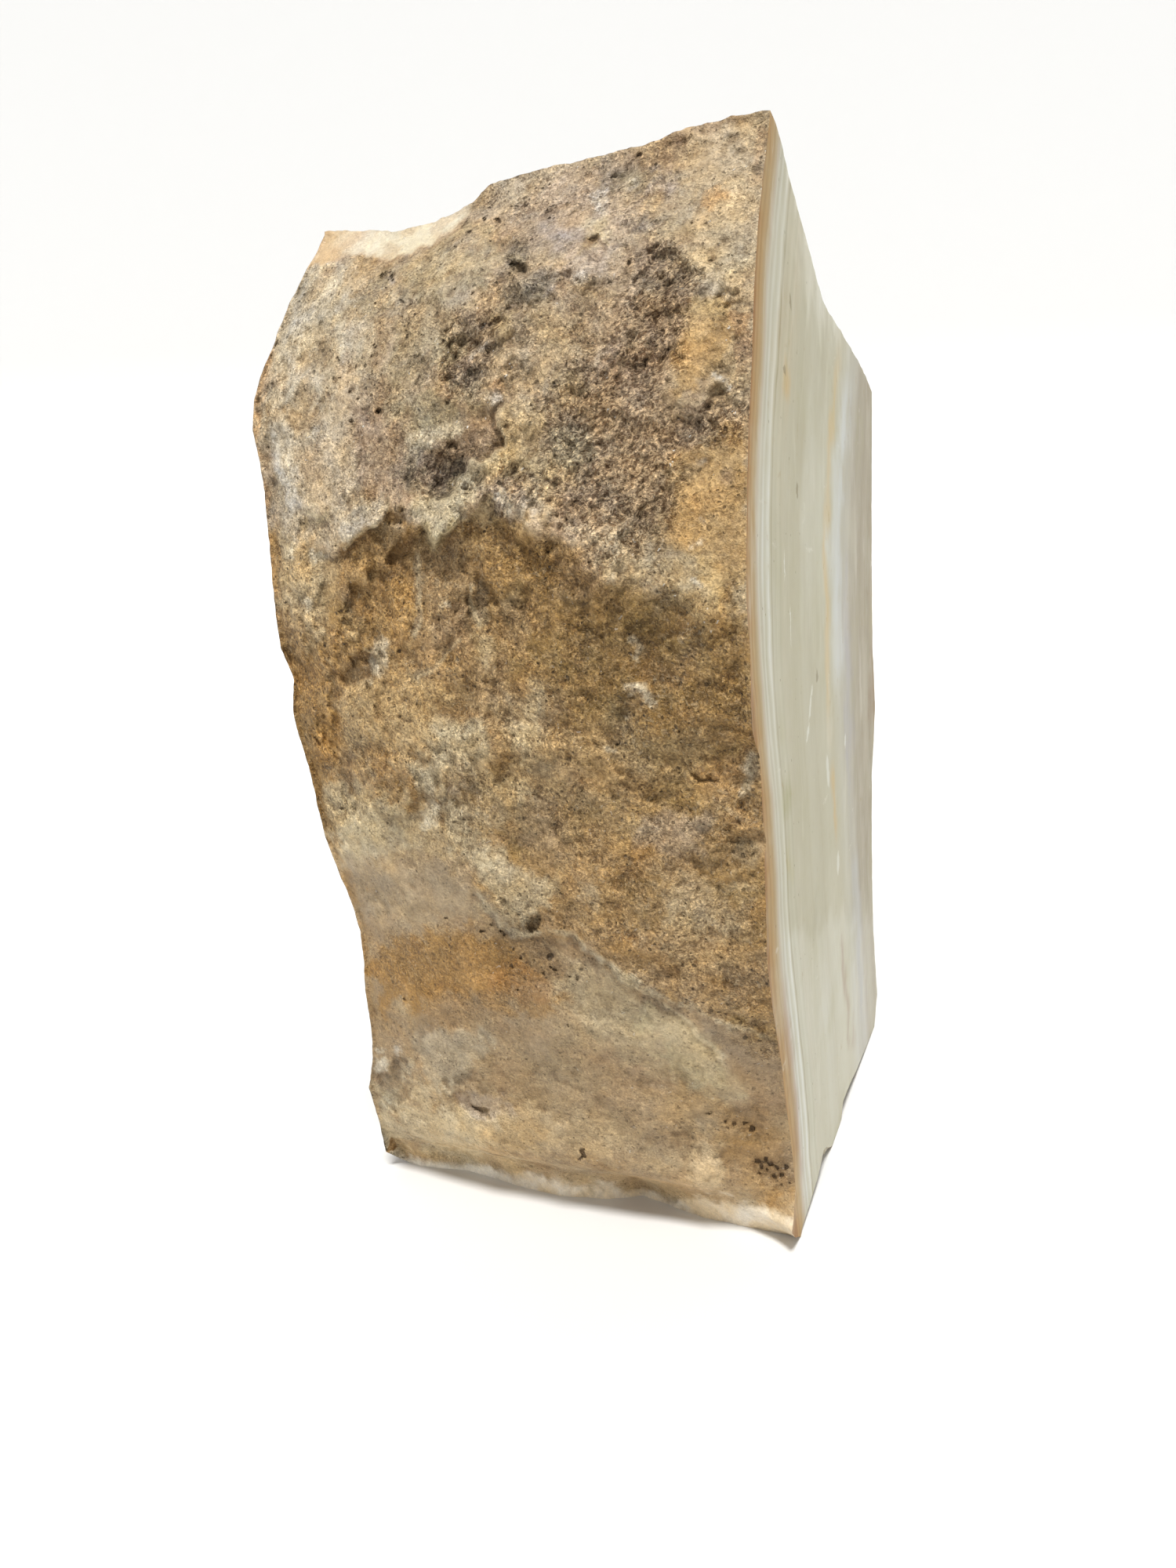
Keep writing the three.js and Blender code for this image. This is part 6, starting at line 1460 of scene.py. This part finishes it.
def break_material():
    g = Graph("onyx_break")
    p = g.place()
    col, w, fine = band_colour(g, p, 2.2)
    n_big = g.noise(p, 0.05, 4, 0.6)
    n_mid = g.noise(p, 0.30, 4, 0.62, 0.4)
    n_grain = g.noise(p, 1.5, 3, 0.62)
    # layers show as honey, milky and clear bands on the break too
    along = g.node("ShaderNodeCombineXYZ", {"X": w, "Y": g.mul(g.node("ShaderNodeSeparateXYZ", {"Vector": p}).outputs["Z"], 0.02)}).outputs[0]
    honey, milk = g.noise(along, 0.13, 4, 0.6), g.noise(along, 0.21, 4, 0.65, 0.3)
    col = g.mix(g.mul(g.ramp(honey, 0.50, 0.62), 0.70), col, rgb((188, 152, 100)))
    col = g.mix(g.mul(g.ramp(honey, 0.60, 0.68), 0.55), col, rgb((158, 116, 66)))
    col = g.mix(g.mul(g.ramp(milk, 0.52, 0.66), 0.75), col, rgb((214, 208, 190)))
    col = g.mix(g.mul(g.ramp(milk, 0.44, 0.34), 0.50), col, rgb((158, 152, 118)))
    col = g.mix(g.mul(g.ramp(n_big, 0.50, 0.66), 0.40), col, g.mix(1.0, col, (0.90, 0.80, 0.62), "MULTIPLY"))
    # interlocking crystals, each with its own tilt and tone
    warp = g.vec("SCALE", g.vec("SUBTRACT", g.noise(p, 0.35, 3, 0.6, out=1), (0.5, 0.5, 0.5)), scale=3.2)
    q = g.vec("ADD", p, warp)

    def crystals(scale):
        v = g.node("ShaderNodeTexVoronoi", {"Vector": q, "Scale": scale})
        lean = g.vec("SUBTRACT", v.outputs["Color"], (0.5, 0.5, 0.5))
        away = g.vec("SUBTRACT", q, v.outputs["Position"])
        tilt = g.node("ShaderNodeVectorMath", {0: lean, 1: away}, operation="DOT_PRODUCT").outputs["Value"]
        return tilt, g.node("ShaderNodeSeparateColor", {"Color": v.outputs["Color"]}).outputs[0]

    tilt_big, tone_big = crystals(0.22)
    tilt_small, tone_small = crystals(0.62)
    col = g.mix(g.mul(g.ramp(tone_big, 0.45, 0.0), 0.30), col, g.mix(1.0, col, (0.78, 0.73, 0.64), "MULTIPLY"))
    col = g.mix(g.mul(g.ramp(tone_big, 0.65, 1.0), 0.30), col, rgb((226, 220, 204)))
    col = g.mix(g.mul(g.ramp(tone_small, 0.40, 0.0), 0.24), col, g.mix(1.0, col, (0.74, 0.68, 0.58), "MULTIPLY"))
    col = g.mix(g.mul(g.ramp(tone_small, 0.70, 1.0), 0.30), col, rgb((232, 228, 214)))
    # stained cracks, dusty hollows and the crust at the rind
    crack = g.math("ABSOLUTE", g.add(g.noise(q, 0.055, 4, 0.62), -0.5))
    crack = g.mul(g.ramp(crack, 0.012, 0.003), g.ramp(g.noise(p, 0.04, 2, 0.5), 0.42, 0.58))
    col = g.mix(g.mul(crack, 0.55), col, rgb((132, 98, 60)))
    dust = g.mul(g.ramp(n_mid, 0.54, 0.66), g.ramp(g.noise(p, 0.035, 3, 0.55), 0.42, 0.62))
    col = g.mix(g.mul(dust, 0.55), col, g.mix(1.0, col, (0.66, 0.55, 0.40), "MULTIPLY"))
    col = g.mix(g.mul(g.ramp(n_grain, 0.46, 0.34), 0.30), col, g.mix(1.0, col, (0.62, 0.56, 0.47), "MULTIPLY"))
    col = g.mix(g.mul(g.ramp(g.add(w, g.mul(g.add(n_mid, -0.5), 12.0)), 7.0, 1.0), 0.85), col, g.mix(g.ramp(n_mid, 0.40, 0.62), rgb((176, 146, 102)), rgb((134, 104, 66))))
    col = g.mix(1.0, col, (1.11, 1.065, 0.98), "MULTIPLY")
    h = g.math("MULTIPLY_ADD", tilt_big, 0.55, g.mul(tilt_small, 0.60))
    h = g.math("MULTIPLY_ADD", g.add(n_mid, -0.5), 1.1, h)
    h = g.math("MULTIPLY_ADD", g.add(n_grain, -0.5), 0.30, h)
    h = g.math("MULTIPLY_ADD", g.add(fine, -0.5), 0.25, h)
    h = g.math("MULTIPLY_ADD", crack, -0.35, h)
    rough = g.math("MULTIPLY_ADD", g.add(tone_small, -0.5), 0.30, 0.46)
    bsdf = g.node("ShaderNodeBsdfPrincipled", {"Base Color": col, "Roughness": rough, "Normal": g.bump(h), "IOR": 1.5,
                                               "Specular IOR Level": 0.4})
    g.node("ShaderNodeOutputMaterial", {"Surface": bsdf.outputs[0]})
    return g.mat


mesh.materials.append(rind_material())
mesh.materials.append(sawn_material("onyx_polished", 0.42, 0.03, 0.0))
mesh.materials.append(break_material())
mesh.materials.append(sawn_material("onyx_sawn", 0.6, 0.1, 1.0))

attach(rock, "root")
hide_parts("onyx_block")

# ------------------------------------------------------------------ stage, light, camera
def stage_material():
    g = Graph("studio_paper")
    bsdf = g.node("ShaderNodeBsdfPrincipled", {"Base Color": (0.70, 0.70, 0.695, 1.0), "Roughness": 0.9, "Specular IOR Level": 0.1})
    g.node("ShaderNodeOutputMaterial", {"Surface": bsdf.outputs[0]})
    return g.mat


right, up, ahead = RIGHT, UP, AHEAD
flat_ahead = np.array([ahead[0], ahead[1], 0.0])
flat_ahead /= np.linalg.norm(flat_ahead)
flat_side = np.array([flat_ahead[1], -flat_ahead[0], 0.0])
profile = [(-3.0, 0.0)] + [(0.9 + 0.5 * math.sin(k / 24 * math.pi / 2), 0.5 - 0.5 * math.cos(k / 24 * math.pi / 2)) for k in range(25)] + [(1.4, 3.2)]
sv, sf = [], []
for i, (dist, height) in enumerate(profile):
    for side in (-4.0, 4.0):
        sv.append(tuple(flat_ahead * dist + flat_side * side + np.array([0, 0, height])))
    if i:
        k = 2 * i
        sf.append((k - 2, k - 1, k + 1, k))
sm = bpy.data.meshes.new("backdrop")
sm.from_pydata(sv, [], sf)
sm.polygons.foreach_set("use_smooth", [True] * len(sf))
sm.materials.append(stage_material())
backdrop = bpy.data.objects.new("backdrop", sm)
bpy.context.scene.collection.objects.link(backdrop)

world = bpy.data.worlds.new("studio")
bpy.context.scene.world = world
world.use_nodes = True
bg = world.node_tree.nodes.get("Background") or world.node_tree.nodes.new("ShaderNodeBackground")
bg.inputs["Color"].default_value = (0.97, 0.985, 1.0, 1.0)
bg.inputs["Strength"].default_value = 0.40


def sun(name, direction, strength, angle, colour=(1, 1, 1)):
    data = bpy.data.lights.new(name, "SUN")
    data.energy, data.angle, data.color = strength, angle, colour
    o = bpy.data.objects.new(name, data)
    o.rotation_euler = Vector(direction).to_track_quat("-Z", "Y").to_euler()
    bpy.context.scene.collection.objects.link(o)
    return o


sun("key", (-0.14, 0.50, -1.0), 3.9, math.radians(13), (1.0, 0.985, 0.96))
sun("fill", (-0.05, 1.0, -0.12), 0.45, math.radians(50))

cam_data = bpy.data.cameras.new("camera")
cam_data.lens, cam_data.sensor_width, cam_data.sensor_fit = LENS, 36.0, "AUTO"
cam_data.clip_start, cam_data.clip_end = 0.005, 50.0
cam = bpy.data.objects.new("camera", cam_data)
m = Matrix.Identity(4)
for k, axis in enumerate((right, up, -ahead)):
    for j in range(3):
        m[j][k] = float(axis[j])
eye = to_part(EYE)
for j in range(3):
    m[j][3] = float(eye[j])
cam.matrix_world = m
bpy.context.scene.collection.objects.link(cam)
bpy.context.scene.camera = cam
bpy.context.scene.view_settings.view_transform = "Standard"

bpy.context.view_layer.update()
